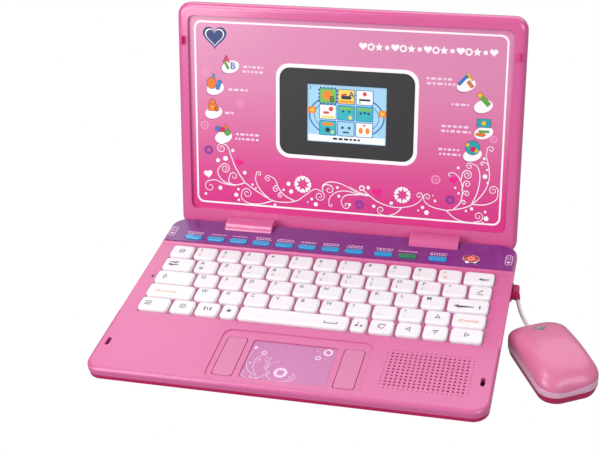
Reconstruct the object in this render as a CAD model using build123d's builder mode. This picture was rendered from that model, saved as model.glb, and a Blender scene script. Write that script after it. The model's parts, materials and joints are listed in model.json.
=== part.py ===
from build123d import *
import math
import os

os.makedirs("parts", exist_ok=True)

# A child's laptop computer, open on a table, with its mouse on a short cord.
# Millimetres. The origin is on the table, in the middle of the whole set.
# The base is laid out on its deck, a plane that tips down towards the front:
# deck x runs right, deck y runs back from the front line of the function strip,
# and deck z rises from the level of the palm rest.

# Base
base_width = 290.0
strip_depth = 33.0
keyboard_depth = 91.0
palm_depth = 66.0
corner_radius = 12.0
deck_tilt = 4.0
deck_height = 32.5
wall = 2.2
top_plate = 2.2
edge_radius = 3.0
seam_drop = 6.0
keyboard_sink = 2.2
panel_thickness = 1.0
skirt_height = 3.5
skirt_inset = 0.5
belly_inset = 20.0
belly_rear_inset = 5.0
foot_height = 1.5

# Keys
key_pitch = 19.9
row_pitch = 16.8
key_gap = 2.1
row_gap = 2.3
key_side_clearance = 0.35
key_height = 0.9
key_travel = 1.4
row_stagger = 6.2
first_row_y = -14.2
first_key_x = -102.0
key_field = 262.4
row_counts = (11, 11, 10, 9)
end_key_width = 23.4
small_key_width = 11.8
key_flange = 0.7

# Function strip
pill_length = 15.2
pill_width = 5.4
pill_height = 1.2
pill_y = 6.0
pill_travel = 0.9
subject_pitch = 19.4
first_subject_x = -119.8
subject_count = 8
level_x = 40.1
games_x = 59.6
volume_x = 83.9
power_x = 110.1
power_y = 9.0
power_ring_length = 14.4
power_ring_width = 10.8
power_button_length = 10.4
power_button_width = 7.4
button_clearance = 0.2

# Palm rest
tray_length = 112.0
tray_depth_y = 53.0
tray_drop = 0.8
tray_radius = 7.0
pad_y = -128.0
pad_width = 63.0
pad_depth = 40.0
pad_button_width = 14.8
pad_button_x = 43.8
pad_button_travel = 0.6
pad_button_clearance = 0.4
pad_button_foot = -5.2
pad_drop = 1.6
grille_x = 98.3
grille_y = -123.8
grille_columns = 19
grille_rows = 13
grille_pitch_x = 3.4
grille_pitch_y = 3.2
hole_radius = 0.85
small_hole_radius = 0.45
slot_x = 137.4
slot_y = -127.0
slot_width = 3.2
slot_length = 8.6
lamp_x = -135.5
lamp_y = -45.7

# Hinge
hinge_y = 29.4
hinge_z = -5.6
barrel_radius = 10.5
barrel_length = 40.0
barrel_x = 77.7
barrel_clearance = 0.5
barrel_end_clearance = 0.4
pin_radius = 2.0
pin_clearance = 0.05
cheek = 6.0

# Lid
lid_lean = 18.6
lid_width = 284.8
rim_offset = 6.0
lid_thickness = 15.0
frame_depth = 7.0
lid_foot = 4.0
lid_top = 186.8
lid_corner = 11.0
lid_edge_radius = 5.0
back_edge_radius = 4.5
rim_width = 9.4
top_rim_width = 10.4
bottom_band = 14.1
recess_depth = 2.4
faceplate_thickness = 1.6
faceplate_lap = 2.0
window_width = 112.0
window_height = 72.0
window_s = 102.4
lcd_width = 76.0
lcd_height = 58.0
lcd_depth = 3.6
lid_screw_seat = -17.0
badge_x = 70.4
badge_y = 139.5
badge_size = 26.0
hook_s = 156.2
hook_width = 1.8
hook_length = 6.6
hook_reach = 4.6

# Mouse
mouse_x = 180.9
mouse_y = -77.7
mouse_turn = 29.0
mouse_length = 76.0
mouse_width = 46.0
mouse_peak = 27.0
mouse_nose_height = 17.0
mouse_tail_height = 20.0
mouse_corner = 14.0
mouse_wall = 2.0
mouse_foot = 1.0
mouse_tuck = 5.0
mouse_seam_low = 7.5
mouse_seam_high = 13.0
mouse_click_gap = 1.0
mouse_badge_size = 12.0
lens_y = 4.0
lens_radius = 4.0
switch_y = 22.0
switch_top = 9.0
pad_spread = 26.0
cover_pivot_y = -30.0
cover_pivot_z = 14.8
lug_height = 7.3
nose_z = 10.3
cord_diameter = 3.0

# Places that follow from the sizes
base_depth = strip_depth + keyboard_depth + palm_depth
base_mid = strip_depth - base_depth / 2
front_y = strip_depth - base_depth
set_x = -34.7
set_y = 30.2
tilt = math.radians(deck_tilt)
ground = Plane(origin=(set_x, set_y, 0))
deck = Plane(
    origin=(set_x, set_y, deck_height),
    x_dir=(1, 0, 0),
    z_dir=(0, -math.sin(tilt), math.cos(tilt)),
)
lid_angle = math.radians(lid_lean) - tilt
hinge_point = deck.from_local_coords((0, hinge_y, hinge_z))
# Lid x runs right, lid y runs up the lid from the hinge axis, lid z comes out of its face
lid = Plane(
    origin=hinge_point,
    x_dir=(1, 0, 0),
    z_dir=(0, -math.cos(lid_angle), math.sin(lid_angle)),
)
rim_z = -rim_offset
mouse = Plane(
    origin=(set_x + mouse_x, set_y + mouse_y, 0),
    x_dir=(math.cos(math.radians(mouse_turn)), math.sin(math.radians(mouse_turn)), 0),
    z_dir=(0, 0, 1),
)
key_width = key_pitch - key_gap
key_depth = row_pitch - row_gap
plate_under = -keyboard_sink - top_plate
strip_under = -panel_thickness - top_plate
key_foot = plate_under - 1.3
palm_under = strip_under + 0.7
membrane_top = key_foot - 0.5 - key_travel - 0.1
notch_length = barrel_length + 2 * barrel_end_clearance
pocket_front = pill_y - pill_width / 2 - 1.7


def save(piece, name):
    piece.part.label = name
    export_step(piece.part, f"parts/{name}.step")


def side_plane(x, y, z):
    """A plane facing +X at a deck position: its x is deck y and its y is deck z."""
    return Plane(origin=deck.from_local_coords((x, y, z)), x_dir=deck.y_dir, z_dir=deck.x_dir)


def base_outline(inset):
    with Locations((0, base_mid)):
        RectangleRounded(base_width - 2 * inset, base_depth - 2 * inset, corner_radius - inset)


def heart(size):
    half = size / (2 + math.sqrt(2))
    with Locations(Location((0, 0, 0), (0, 0, 45))):
        Rectangle(2 * half, 2 * half)
    lift = half / math.sqrt(2)
    with Locations((-lift, lift), (lift, lift)):
        Circle(half)


# ---- Where the keys are: name, list of (x, y, width) ----
half_field = key_field / 2
keys = {}
row_names = ("number_keys", "upper_letter_keys", "middle_letter_keys", "lower_letter_keys")
left_names = ("escape_key", "language_key", "caps_lock_key", "left_shift_key")
right_names = ("backspace_key", "delete_key", "enter_key", "right_shift_key")
for row, count in enumerate(row_counts):
    y = first_row_y - row * row_pitch
    first = first_key_x + row * row_stagger
    xs = [first + i * key_pitch for i in range(count)]
    keys[row_names[row]] = [(x, y, key_width) for x in xs]
    if row == len(row_counts) - 1:
        xs.append(first + count * key_pitch)
        keys["up_key"] = [(xs[-1], y, key_width)]
    left_edge = xs[0] - key_width / 2 - key_gap
    right_edge = xs[-1] + key_width / 2 + key_gap
    keys[left_names[row]] = [((left_edge - half_field) / 2, y, half_field + left_edge)]
    keys[right_names[row]] = [((right_edge + half_field) / 2, y, half_field - right_edge)]
bottom_row = [
    ("menu_key", end_key_width),
    ("command_keys", key_width),
    ("command_keys", key_width),
    ("command_keys", small_key_width),
    ("space_key", 0),
    ("command_keys", small_key_width),
    ("command_keys", key_width),
    ("left_key", key_width),
    ("down_key", key_width),
    ("right_key", end_key_width),
]
taken = sum(width for _, width in bottom_row) + key_gap * (len(bottom_row) - 1)
edge = -half_field
for name, width in bottom_row:
    width = width or key_field - taken
    y = first_row_y - len(row_counts) * row_pitch
    keys.setdefault(name, []).append((edge + width / 2, y, width))
    edge += width + key_gap
all_keys = [key for group in keys.values() for key in group]

# ---- Where the function buttons are ----
pills = {
    "subject_buttons": [(first_subject_x + i * subject_pitch, pill_y) for i in range(subject_count)],
    "level_button": [(level_x, pill_y)],
    "games_button": [(games_x, pill_y)],
    "volume_button": [(volume_x, pill_y)],
}
all_pills = [place for group in pills.values() for place in group]

# ---- Where the screws are ----
screw_places = [
    (side * x, y)
    for side in (-1, 1)
    for x, y in (
        (base_width / 2 - 14, strip_depth - 13),
        (base_width / 2 - 25, -keyboard_depth - 5.5),
        (62, front_y + 24),
    )
]
screw_radius = 1.4
screw_head_radius = 2.8
screw_head_height = 2.0
post_radius = 3.0
post_end = -9.0
screw_seat = -13.5
screw_length = 9.5

# ---- Spaces that the hinge barrels turn in ----
with BuildPart() as hinge_spaces:
    for side in (-1, 1):
        with BuildSketch(side_plane(side * barrel_x - notch_length / 2, hinge_y, hinge_z)):
            Circle(barrel_radius + barrel_clearance)
            with Locations((10, 10)):
                Rectangle(20, 20)
        extrude(amount=notch_length)
with BuildPart() as hinge_cheeks:
    for side in (-1, 1):
        with BuildSketch(side_plane(side * barrel_x - notch_length / 2 - cheek, hinge_y, hinge_z)):
            Circle(barrel_radius + barrel_clearance + 1.6)
        extrude(amount=notch_length + 2 * cheek)
with BuildPart() as pin_bores:
    for side in (-1, 1):
        with BuildSketch(side_plane(side * barrel_x - notch_length / 2 - cheek, hinge_y, hinge_z)):
            Circle(pin_radius)
        extrude(amount=notch_length + 2 * cheek)

# ---- Upper case of the base ----
with BuildPart() as upper_cheeks:
    with BuildSketch(deck.offset(-seam_drop)):
        base_outline(wall / 2)
    extrude(amount=seam_drop - panel_thickness - 0.2)
    add(hinge_cheeks.part, mode=Mode.INTERSECT)

with BuildPart() as upper_case:
    with BuildSketch(deck.offset(-seam_drop)):
        base_outline(0)
    extrude(amount=seam_drop)
    deck_top = upper_case.faces().sort_by(Axis(deck.origin, deck.z_dir))[-1]
    fillet(deck_top.edges(), edge_radius)
    # the sunken keyboard field and the ledge that the function panel lies on
    with BuildSketch(side_plane(0, 0, 0)):
        with BuildLine():
            Polyline(
                (-keyboard_depth, 1),
                (-keyboard_depth, -0.5),
                (-keyboard_depth + 0.6, -keyboard_sink),
                (-2.0, -keyboard_sink),
                (-0.6, -panel_thickness),
                (strip_depth + 1, -panel_thickness),
                (strip_depth + 1, 1),
                close=True,
            )
        make_face()
    extrude(amount=base_width / 2 + 1, both=True, mode=Mode.SUBTRACT)
    # hollow inside
    with BuildSketch(deck.offset(-seam_drop)):
        base_outline(wall)
    extrude(amount=seam_drop + plate_under, mode=Mode.SUBTRACT)
    with BuildSketch(deck.offset(plate_under - 0.01)):
        with Locations((0, front_y + palm_depth / 2)):
            Rectangle(base_width - 2 * corner_radius, palm_depth - 2 * wall - 2)
        with Locations((0, (pocket_front + strip_depth - wall - 1) / 2)):
            Rectangle(base_width - 2 * corner_radius, strip_depth - wall - 1 - pocket_front)
    extrude(amount=top_plate - 1.0, mode=Mode.SUBTRACT)
    with BuildSketch(deck.offset(strip_under - 0.1)):
        with Locations((0, front_y + palm_depth / 2)):
            Rectangle(base_width - 2 * corner_radius, palm_depth - 2 * wall - 2)
    extrude(amount=0.8, mode=Mode.SUBTRACT)
    add(upper_cheeks.part)
    # posts that the case screws bite into
    with BuildSketch(deck.offset(post_end)):
        with Locations(*screw_places):
            Circle(post_radius)
    extrude(amount=-post_end + strip_under + 1.4)
    # the shallow tray round the touchpad
    with BuildSketch(deck.offset(-tray_drop)):
        with Locations((0, front_y + palm_depth - 9 - tray_depth_y / 2)):
            RectangleRounded(tray_length, tray_depth_y, tray_radius)
    extrude(amount=tray_drop + 1, mode=Mode.SUBTRACT)
    # key openings
    with BuildSketch(deck.offset(plate_under - 1)):
        for x, y, width in all_keys:
            with Locations((x, y)):
                RectangleRounded(
                    width + 2 * key_side_clearance, key_depth + 2 * key_side_clearance, 2.2
                )
        with Locations((lamp_x, lamp_y)):
            SlotOverall(3.4, 1.8, rotation=90)
    extrude(amount=top_plate + 3, mode=Mode.SUBTRACT)
    # openings for function buttons, touchpad, its buttons and the catch slots
    with BuildSketch(deck.offset(-seam_drop)):
        with Locations(*all_pills):
            SlotOverall(pill_length + 2 * button_clearance, pill_width + 2 * button_clearance)
        with Locations((power_x, power_y)):
            Ellipse(power_ring_length / 2 - 1, power_ring_width / 2 - 1)
        with Locations((0, pad_y)):
            RectangleRounded(pad_width, pad_depth, 2.5)
        with Locations((-pad_button_x, pad_y), (pad_button_x, pad_y)):
            RectangleRounded(
                pad_button_width + 2 * pad_button_clearance,
                pad_depth + 2 * pad_button_clearance,
                2.5,
            )
        with Locations((-slot_x, slot_y), (slot_x, slot_y)):
            SlotOverall(slot_length, slot_width, rotation=90)
    extrude(amount=seam_drop + 1, mode=Mode.SUBTRACT)
    # the loudspeaker grille: rows of holes, small ones round the edge
    with BuildSketch(deck.offset(-seam_drop)):
        for column in range(grille_columns):
            for row in range(grille_rows):
                from_edge_x = min(column, grille_columns - 1 - column)
                from_edge_y = min(row, grille_rows - 1 - row)
                if from_edge_x + from_edge_y == 0:
                    continue
                radius = small_hole_radius if from_edge_x * from_edge_y == 0 else hole_radius
                place = (
                    grille_x + (column - (grille_columns - 1) / 2) * grille_pitch_x,
                    grille_y + (row - (grille_rows - 1) / 2) * grille_pitch_y,
                )
                with Locations(place):
                    Circle(radius)
    extrude(amount=seam_drop + 1, mode=Mode.SUBTRACT)
    with BuildSketch(deck.offset(post_end)):
        with Locations(*screw_places):
            Circle(screw_radius)
    extrude(amount=-post_end + strip_under - 0.5, mode=Mode.SUBTRACT)
    add(hinge_spaces.part, mode=Mode.SUBTRACT)
    add(pin_bores.part, mode=Mode.SUBTRACT)
save(upper_case, "base_upper_case")

# ---- Function panel along the back of the deck ----
with BuildPart() as function_panel:
    with BuildSketch(deck.offset(-panel_thickness)):
        with Locations((0, (0.3 + strip_depth - wall) / 2)):
            Rectangle(base_width - 3.0, strip_depth - wall - 0.3)
        fillet(vertices().group_by(Axis.Y)[-1], corner_radius - 1)
        with Locations(*all_pills):
            SlotOverall(
                pill_length + 2 * button_clearance,
                pill_width + 2 * button_clearance,
                mode=Mode.SUBTRACT,
            )
        with Locations((power_x, power_y)):
            Ellipse(power_ring_length / 2, power_ring_width / 2, mode=Mode.SUBTRACT)
    extrude(amount=panel_thickness)
    add(hinge_spaces.part, mode=Mode.SUBTRACT)
save(function_panel, "function_panel")

# ---- Lower case: an upright skirt, then a belly that tucks in under the base ----
belly_width = base_width - 2 * belly_inset
belly_depth = base_depth - belly_inset - belly_rear_inset
belly_mid = (front_y + belly_inset + strip_depth - belly_rear_inset) / 2
skirt_foot = -seam_drop - skirt_height

# Battery bay, on the ground plane
cell_radius = 7.25
cell_length = 50.5
cell_rows = (-3.6, 11.4)
bay_half = cell_length + 3.0
bay_front = cell_rows[0] - cell_radius - 1.0
bay_back = cell_rows[1] + cell_radius + 1.0
bay_wall = 1.6
cell_height = foot_height + wall + cell_radius + 0.5
bay_roof = cell_height + cell_radius + 0.4
door_front = bay_front - 8.0
door_screw_y = bay_front - 4.4
door_clearance = 0.2

# Mouse socket in the right side
port_y = -8.4
port_z = -14.6
socket_radius = 4.4
plug_radius = 2.6
port_face = base_width / 2

bellies = []
for inset, floor in ((0, foot_height), (wall, foot_height + wall)):
    with BuildPart() as belly:
        with BuildSketch(deck.offset(-seam_drop)):
            base_outline(skirt_inset + inset)
        extrude(amount=-skirt_height)
        with BuildSketch(deck.offset(skirt_foot)):
            base_outline(skirt_inset + inset)
        with BuildSketch(ground.offset(floor)):
            with Locations((0, belly_mid)):
                RectangleRounded(belly_width - 2 * inset, belly_depth - 2 * inset, corner_radius)
        loft(ruled=True)
    bellies.append(belly.part)
belly_outside, belly_inside = bellies

with BuildPart() as lower_limit:
    with BuildSketch(deck.offset(-seam_drop - 0.01)):
        base_outline(skirt_inset + 0.4)
    extrude(amount=-60)
    add(belly_outside, mode=Mode.INTERSECT)

with BuildPart() as lower_ribs:
    # cradles under the hinge barrels
    add(hinge_cheeks.part)
    # bosses for the case screws
    with BuildSketch(deck.offset(post_end - 0.1)):
        with Locations(*screw_places):
            Circle(screw_head_radius + 1.6)
    extrude(amount=-40)
    # battery bay
    with BuildSketch(ground.offset(foot_height)):
        with Locations((0, (bay_front + bay_back) / 2)):
            Rectangle(2 * (bay_half + bay_wall), bay_back - bay_front + 2 * bay_wall)
    extrude(amount=bay_roof + 1.0 - foot_height)
    with BuildSketch(ground.offset(foot_height)):
        with Locations((0, door_screw_y)):
            Circle(post_radius + 0.6)
    extrude(amount=10)
    # block behind the mouse socket
    with BuildSketch(side_plane(port_face - 20, port_y, port_z)):
        RectangleRounded(18, 9.8, 4)
    extrude(amount=20)
    add(lower_limit.part, mode=Mode.INTERSECT)

with BuildPart() as port_boss:
    with BuildSketch(side_plane(port_face - 12, port_y, port_z)):
        RectangleRounded(18, 9.6, 4)
    extrude(amount=12)
    fillet(port_boss.faces().sort_by(Axis.X)[-1].edges(), 1.5)

with BuildPart() as lower_case:
    add(belly_outside)
    add(belly_inside, mode=Mode.SUBTRACT)
    add(lower_ribs.part)
    add(port_boss.part)
    add(hinge_spaces.part, mode=Mode.SUBTRACT)
    add(pin_bores.part, mode=Mode.SUBTRACT)
    with BuildSketch(ground):
        with Locations((0, (bay_front + bay_back) / 2)):
            Rectangle(2 * bay_half, bay_back - bay_front)
    extrude(amount=bay_roof, mode=Mode.SUBTRACT)
    with BuildSketch(ground):
        with Locations((0, (door_front + bay_back) / 2)):
            Rectangle(2 * bay_half, bay_back - door_front)
    extrude(amount=foot_height + wall - 0.2, mode=Mode.SUBTRACT)
    with BuildSketch(ground):
        with Locations((0, door_screw_y)):
            Circle(screw_radius)
    extrude(amount=foot_height + 9, mode=Mode.SUBTRACT)
    with BuildSketch(deck.offset(screw_seat)):
        with Locations(*screw_places):
            Circle(screw_head_radius + 0.3)
    extrude(amount=-40, mode=Mode.SUBTRACT)
    with BuildSketch(deck.offset(post_end)):
        with Locations(*screw_places):
            Circle(screw_radius + 0.2)
    extrude(amount=screw_seat - post_end, mode=Mode.SUBTRACT)
    with BuildSketch(side_plane(port_face - 12, port_y, port_z)):
        Circle(socket_radius)
    extrude(amount=13, mode=Mode.SUBTRACT)
    with BuildSketch(side_plane(port_face - 21, port_y, port_z)):
        Circle(plug_radius + 0.5)
    extrude(amount=12, mode=Mode.SUBTRACT)
save(lower_case, "base_lower_case")

with BuildPart() as case_screws:
    with BuildSketch(deck.offset(screw_seat)):
        with Locations(*screw_places):
            Circle(screw_head_radius)
    extrude(amount=-screw_head_height)
    with BuildSketch(deck.offset(screw_seat)):
        with Locations(*screw_places):
            Circle(screw_radius)
    extrude(amount=screw_length)
    # the screw that keeps the battery door shut
    with BuildSketch(ground.offset(foot_height + 1.4)):
        with Locations((0, door_screw_y)):
            Circle(screw_head_radius)
    extrude(amount=-screw_head_height)
    with BuildSketch(ground.offset(foot_height + 1.4)):
        with Locations((0, door_screw_y)):
            Circle(screw_radius)
    extrude(amount=7)
save(case_screws, "case_screws")

with BuildPart() as battery_door:
    with BuildSketch(ground.offset(foot_height)):
        with Locations((0, (door_front + bay_back) / 2)):
            RectangleRounded(
                2 * (bay_half - door_clearance), bay_back - door_front - 2 * door_clearance, 1.0
            )
    extrude(amount=wall - 0.3)
    with BuildSketch(ground.offset(foot_height)):
        with Locations((0, door_screw_y)):
            Circle(screw_head_radius + 0.3)
    extrude(amount=1.4, mode=Mode.SUBTRACT)
    with BuildSketch(ground.offset(foot_height)):
        with Locations((0, door_screw_y)):
            Circle(screw_radius + 0.2)
    extrude(amount=3, mode=Mode.SUBTRACT)
save(battery_door, "battery_door")

cell_plane = Plane(origin=ground.from_local_coords((0, 0, cell_height)), x_dir=(0, 1, 0), z_dir=(1, 0, 0))
with BuildPart() as battery_cells:
    for side in (-1, 1):
        start = cell_plane.offset(0.4 if side > 0 else -cell_length - 0.4)
        with BuildSketch(start):
            with Locations(*[(y, 0) for y in cell_rows]):
                Circle(cell_radius)
        extrude(amount=cell_length - 1.0)
        tip = cell_plane.offset(cell_length - 0.6 if side > 0 else -1.4)
        with BuildSketch(tip):
            with Locations(*[(y, 0) for y in cell_rows]):
                Circle(2.7)
        extrude(amount=1.0)
save(battery_cells, "battery_cells")

with BuildPart() as battery_contacts:
    for x in (-bay_half, bay_half - 0.5):
        with BuildSketch(cell_plane.offset(x)):
            with Locations(*[(y, 0) for y in cell_rows]):
                Rectangle(9, 10)
        extrude(amount=0.5)
        with BuildSketch(cell_plane.offset(-bay_half if x < 0 else cell_length + 0.5)):
            with Locations(*[(y, 0) for y in cell_rows]):
                Circle(3)
        extrude(amount=bay_half - cell_length - 0.5)
save(battery_contacts, "battery_contacts")

with BuildPart() as feet:
    with BuildSketch(ground):
        for y in (front_y + belly_inset + 14, strip_depth - belly_rear_inset - 14):
            with Locations((-belly_width / 2 + 18, y), (belly_width / 2 - 18, y)):
                Circle(7)
    extrude(amount=foot_height)
save(feet, "base_feet")

# ---- Inside the base ----
board_half = 120.0
with BuildPart() as membrane:
    with BuildSketch(deck.offset(membrane_top - 1.5)):
        with Locations((0, first_row_y - 2 * row_pitch)):
            Rectangle(2 * board_half + 20, 5 * row_pitch + 2)
    extrude(amount=0.8)
    with BuildSketch(deck.offset(membrane_top - 0.7)):
        with Locations(*[(x, y) for x, y, _ in all_keys]):
            Circle(3.2)
    extrude(amount=0.7, taper=25)
save(membrane, "keyboard_membrane")

with BuildPart() as main_board:
    with BuildSketch(deck.offset(membrane_top - 1.5)):
        with Locations((0, -38)):
            Rectangle(2 * board_half, 100)
    extrude(amount=-1.6)
save(main_board, "main_board")

with BuildPart() as speaker:
    with BuildSketch(deck.offset(palm_under)):
        with Locations((grille_x, grille_y)):
            Circle(19.5)
    extrude(amount=-1.4)
    with BuildSketch(deck.offset(palm_under - 1.4)):
        with Locations((grille_x, grille_y)):
            Circle(17)
    extrude(amount=-4, taper=35)
    with BuildSketch(deck.offset(palm_under - 5.4)):
        with Locations((grille_x, grille_y)):
            Circle(9.5)
    extrude(amount=-4)
save(speaker, "speaker")

with BuildPart() as pad_plate:
    with BuildSketch(deck.offset(palm_under)):
        with Locations((0, pad_y)):
            RectangleRounded(pad_width - 0.1, pad_depth - 0.1, 2.5)
    extrude(amount=-palm_under - pad_drop)
    with BuildSketch(deck.offset(palm_under)):
        with Locations((0, pad_y)):
            Rectangle(pad_width + 2.4, pad_depth + 3)
    extrude(amount=-1.2)
save(pad_plate, "touchpad_plate")

with BuildPart() as pad_board:
    with BuildSketch(deck.offset(pad_button_foot - pad_button_travel - 0.15)):
        with Locations((0, pad_y)):
            Rectangle(2 * pad_button_x + 14, pad_depth)
    extrude(amount=-1.2)
save(pad_board, "touchpad_board")

for side, name in ((-1, "left"), (1, "right")):
    with BuildPart() as pad_button:
        with BuildSketch(deck.offset(palm_under - 1.4)):
            with Locations((side * pad_button_x, pad_y)):
                RectangleRounded(pad_button_width, pad_depth, 2.5)
        extrude(amount=1.4 - palm_under - tray_drop + 0.3)
        fillet(pad_button.faces().sort_by(Axis(deck.origin, deck.z_dir))[-1].edges(), 0.35)
        with BuildSketch(deck.offset(palm_under - 0.2)):
            with Locations((side * pad_button_x, pad_y)):
                Rectangle(pad_button_width + 1.6, pad_depth + 3)
        extrude(amount=-1.2)
        with BuildSketch(deck.offset(pad_button_foot)):
            with Locations((side * pad_button_x, pad_y)):
                Circle(2.4)
        extrude(amount=palm_under - 1.0 - pad_button_foot)
    save(pad_button, f"touchpad_button_{name}")

with BuildPart() as lamp:
    with BuildSketch(deck.offset(plate_under)):
        with Locations((lamp_x, lamp_y)):
            SlotOverall(3.4, 1.8, rotation=90)
    extrude(amount=top_plate - 0.2)
    with BuildSketch(deck.offset(plate_under)):
        with Locations((lamp_x, lamp_y)):
            Circle(2.4)
    extrude(amount=-1.2)
save(lamp, "caps_lock_lamp")

with BuildPart() as hinge_pins:
    for side in (-1, 1):
        with BuildSketch(side_plane(side * barrel_x - notch_length / 2 - cheek, hinge_y, hinge_z)):
            Circle(pin_radius)
        extrude(amount=notch_length + 2 * cheek)
save(hinge_pins, "hinge_pins")

# ---- Keys: each cap goes down through its opening and has a flange below the plate ----
for name, group in keys.items():
    with BuildPart() as caps:
        for x, y, width in group:
            with BuildSketch(deck.offset(key_foot)):
                with Locations((x, y)):
                    RectangleRounded(width, key_depth, 2.0)
            extrude(amount=-keyboard_sink + 0.2 - key_foot)
            with BuildSketch(deck.offset(-keyboard_sink + 0.2)):
                with Locations((x, y)):
                    RectangleRounded(width, key_depth, 2.0)
            extrude(amount=key_height + keyboard_sink - 0.2, taper=18)
            with BuildSketch(deck.offset(key_foot)):
                with Locations((x, y)):
                    Rectangle(width + 2 * key_flange, key_depth + 2 * key_flange)
            extrude(amount=1.0)
            with BuildSketch(deck.offset(key_foot)):
                with Locations((x, y)):
                    Rectangle(width - 3.0, key_depth - 3.0)
                    Circle(2.4, mode=Mode.SUBTRACT)
            extrude(amount=-0.8 - key_foot, mode=Mode.SUBTRACT)
            with BuildSketch(deck.offset(key_foot - 0.5)):
                with Locations((x, y)):
                    Circle(2.4)
            extrude(amount=0.5)
    save(caps, name)

# ---- Function buttons ----
for name, places in pills.items():
    with BuildPart() as buttons:
        with BuildSketch(deck.offset(strip_under - 1.4)):
            with Locations(*places):
                SlotOverall(pill_length, pill_width)
        extrude(amount=pill_height - strip_under + 1.4)
        fillet(buttons.faces().group_by(Axis(deck.origin, deck.z_dir))[-1].edges(), 0.8)
        with BuildSketch(deck.offset(strip_under - 1.4)):
            with Locations(*places):
                SlotOverall(pill_length + 1.6, pill_width + 1.6)
        extrude(amount=1.2)
        with BuildSketch(deck.offset(strip_under - pill_travel - 2.4)):
            with Locations(*places):
                Circle(1.8)
        extrude(amount=pill_travel + 1.0)
    save(buttons, name)

with BuildPart() as power_ring:
    with BuildSketch(deck.offset(-panel_thickness)):
        with Locations((power_x, power_y)):
            Ellipse(power_ring_length / 2 - 0.05, power_ring_width / 2 - 0.05)
    extrude(amount=panel_thickness + 1.3)
    fillet(power_ring.faces().sort_by(Axis(deck.origin, deck.z_dir))[-1].edges(), 0.7)
    with BuildSketch(deck.offset(strip_under)):
        with Locations((power_x, power_y)):
            Ellipse(power_ring_length / 2 - 1.05, power_ring_width / 2 - 1.05)
    extrude(amount=top_plate)
    with BuildSketch(deck.offset(strip_under)):
        with Locations((power_x, power_y)):
            Ellipse(
                power_button_length / 2 + button_clearance, power_button_width / 2 + button_clearance
            )
    extrude(amount=8, mode=Mode.SUBTRACT)
save(power_ring, "power_button_ring")

with BuildPart() as power_button:
    with BuildSketch(deck.offset(strip_under - 1.4)):
        with Locations((power_x, power_y)):
            Ellipse(power_button_length / 2, power_button_width / 2)
    extrude(amount=1.1 - strip_under + 1.4)
    fillet(power_button.faces().sort_by(Axis(deck.origin, deck.z_dir))[-1].edges(), 0.8)
    with BuildSketch(deck.offset(strip_under - 1.4)):
        with Locations((power_x, power_y)):
            Ellipse(power_button_length / 2 + 1.4, power_button_width / 2 + 1.4)
    extrude(amount=1.2)
save(power_button, "power_button")

# ---- Lid ----
lid_mid = (lid_top - lid_foot) / 2
lid_length = lid_top + lid_foot
seam_z = rim_z - frame_depth
back_z = rim_z - lid_thickness
recess_z = rim_z - recess_depth
recess_x = lid_width / 2 - rim_width
recess_mid = (bottom_band + lid_top - top_rim_width) / 2
recess_length = lid_top - top_rim_width - bottom_band
lid_screw_places = [(x, y) for x in (-120, 0, 120) for y in (4.0, lid_top - 5.4)]
hook_places = [(-slot_x, hook_s), (slot_x, hook_s)]

with BuildPart() as lid_frame:
    with BuildSketch(lid.offset(rim_z)):
        with Locations((0, lid_mid)):
            RectangleRounded(lid_width, lid_length, lid_corner)
    extrude(amount=-frame_depth)
    fillet(lid_frame.faces().sort_by(Axis(lid.origin, lid.z_dir))[-1].edges(), lid_edge_radius)
    with BuildSketch(lid.offset(seam_z)):
        with Locations((0, lid_mid)):
            RectangleRounded(lid_width - 2 * wall, lid_length - 2 * wall, lid_corner - wall)
    extrude(amount=frame_depth - recess_depth, mode=Mode.SUBTRACT)
    with BuildSketch(lid.offset(seam_z)):
        with Locations(*lid_screw_places):
            Circle(2.6)
    extrude(amount=frame_depth - 1.0)
    for side in (-1, 1):
        start = lid.from_local_coords((side * barrel_x - barrel_length / 2, 0, 0))
        with BuildSketch(Plane(origin=start, x_dir=lid.y_dir, z_dir=lid.x_dir)):
            Circle(barrel_radius)
        extrude(amount=barrel_length)
    for side in (-1, 1):
        start = lid.from_local_coords((side * barrel_x - barrel_length / 2, 0, 0))
        with BuildSketch(Plane(origin=start, x_dir=lid.y_dir, z_dir=lid.x_dir)):
            Circle(pin_radius + pin_clearance)
        extrude(amount=barrel_length, mode=Mode.SUBTRACT)
    with BuildSketch(lid.offset(recess_z)):
        with Locations((0, recess_mid)):
            RectangleRounded(2 * recess_x, recess_length, 5.0)
    extrude(amount=recess_depth + 1, mode=Mode.SUBTRACT)
    with BuildSketch(lid.offset(seam_z)):
        with Locations(*lid_screw_places):
            Circle(screw_radius)
    extrude(amount=frame_depth - 2.0, mode=Mode.SUBTRACT)
    with BuildSketch(lid.offset(rim_z - 1.6)):
        with Locations(*hook_places):
            Rectangle(hook_width, hook_length)
    extrude(amount=3, mode=Mode.SUBTRACT)
save(lid_frame, "lid_front_frame")

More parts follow.
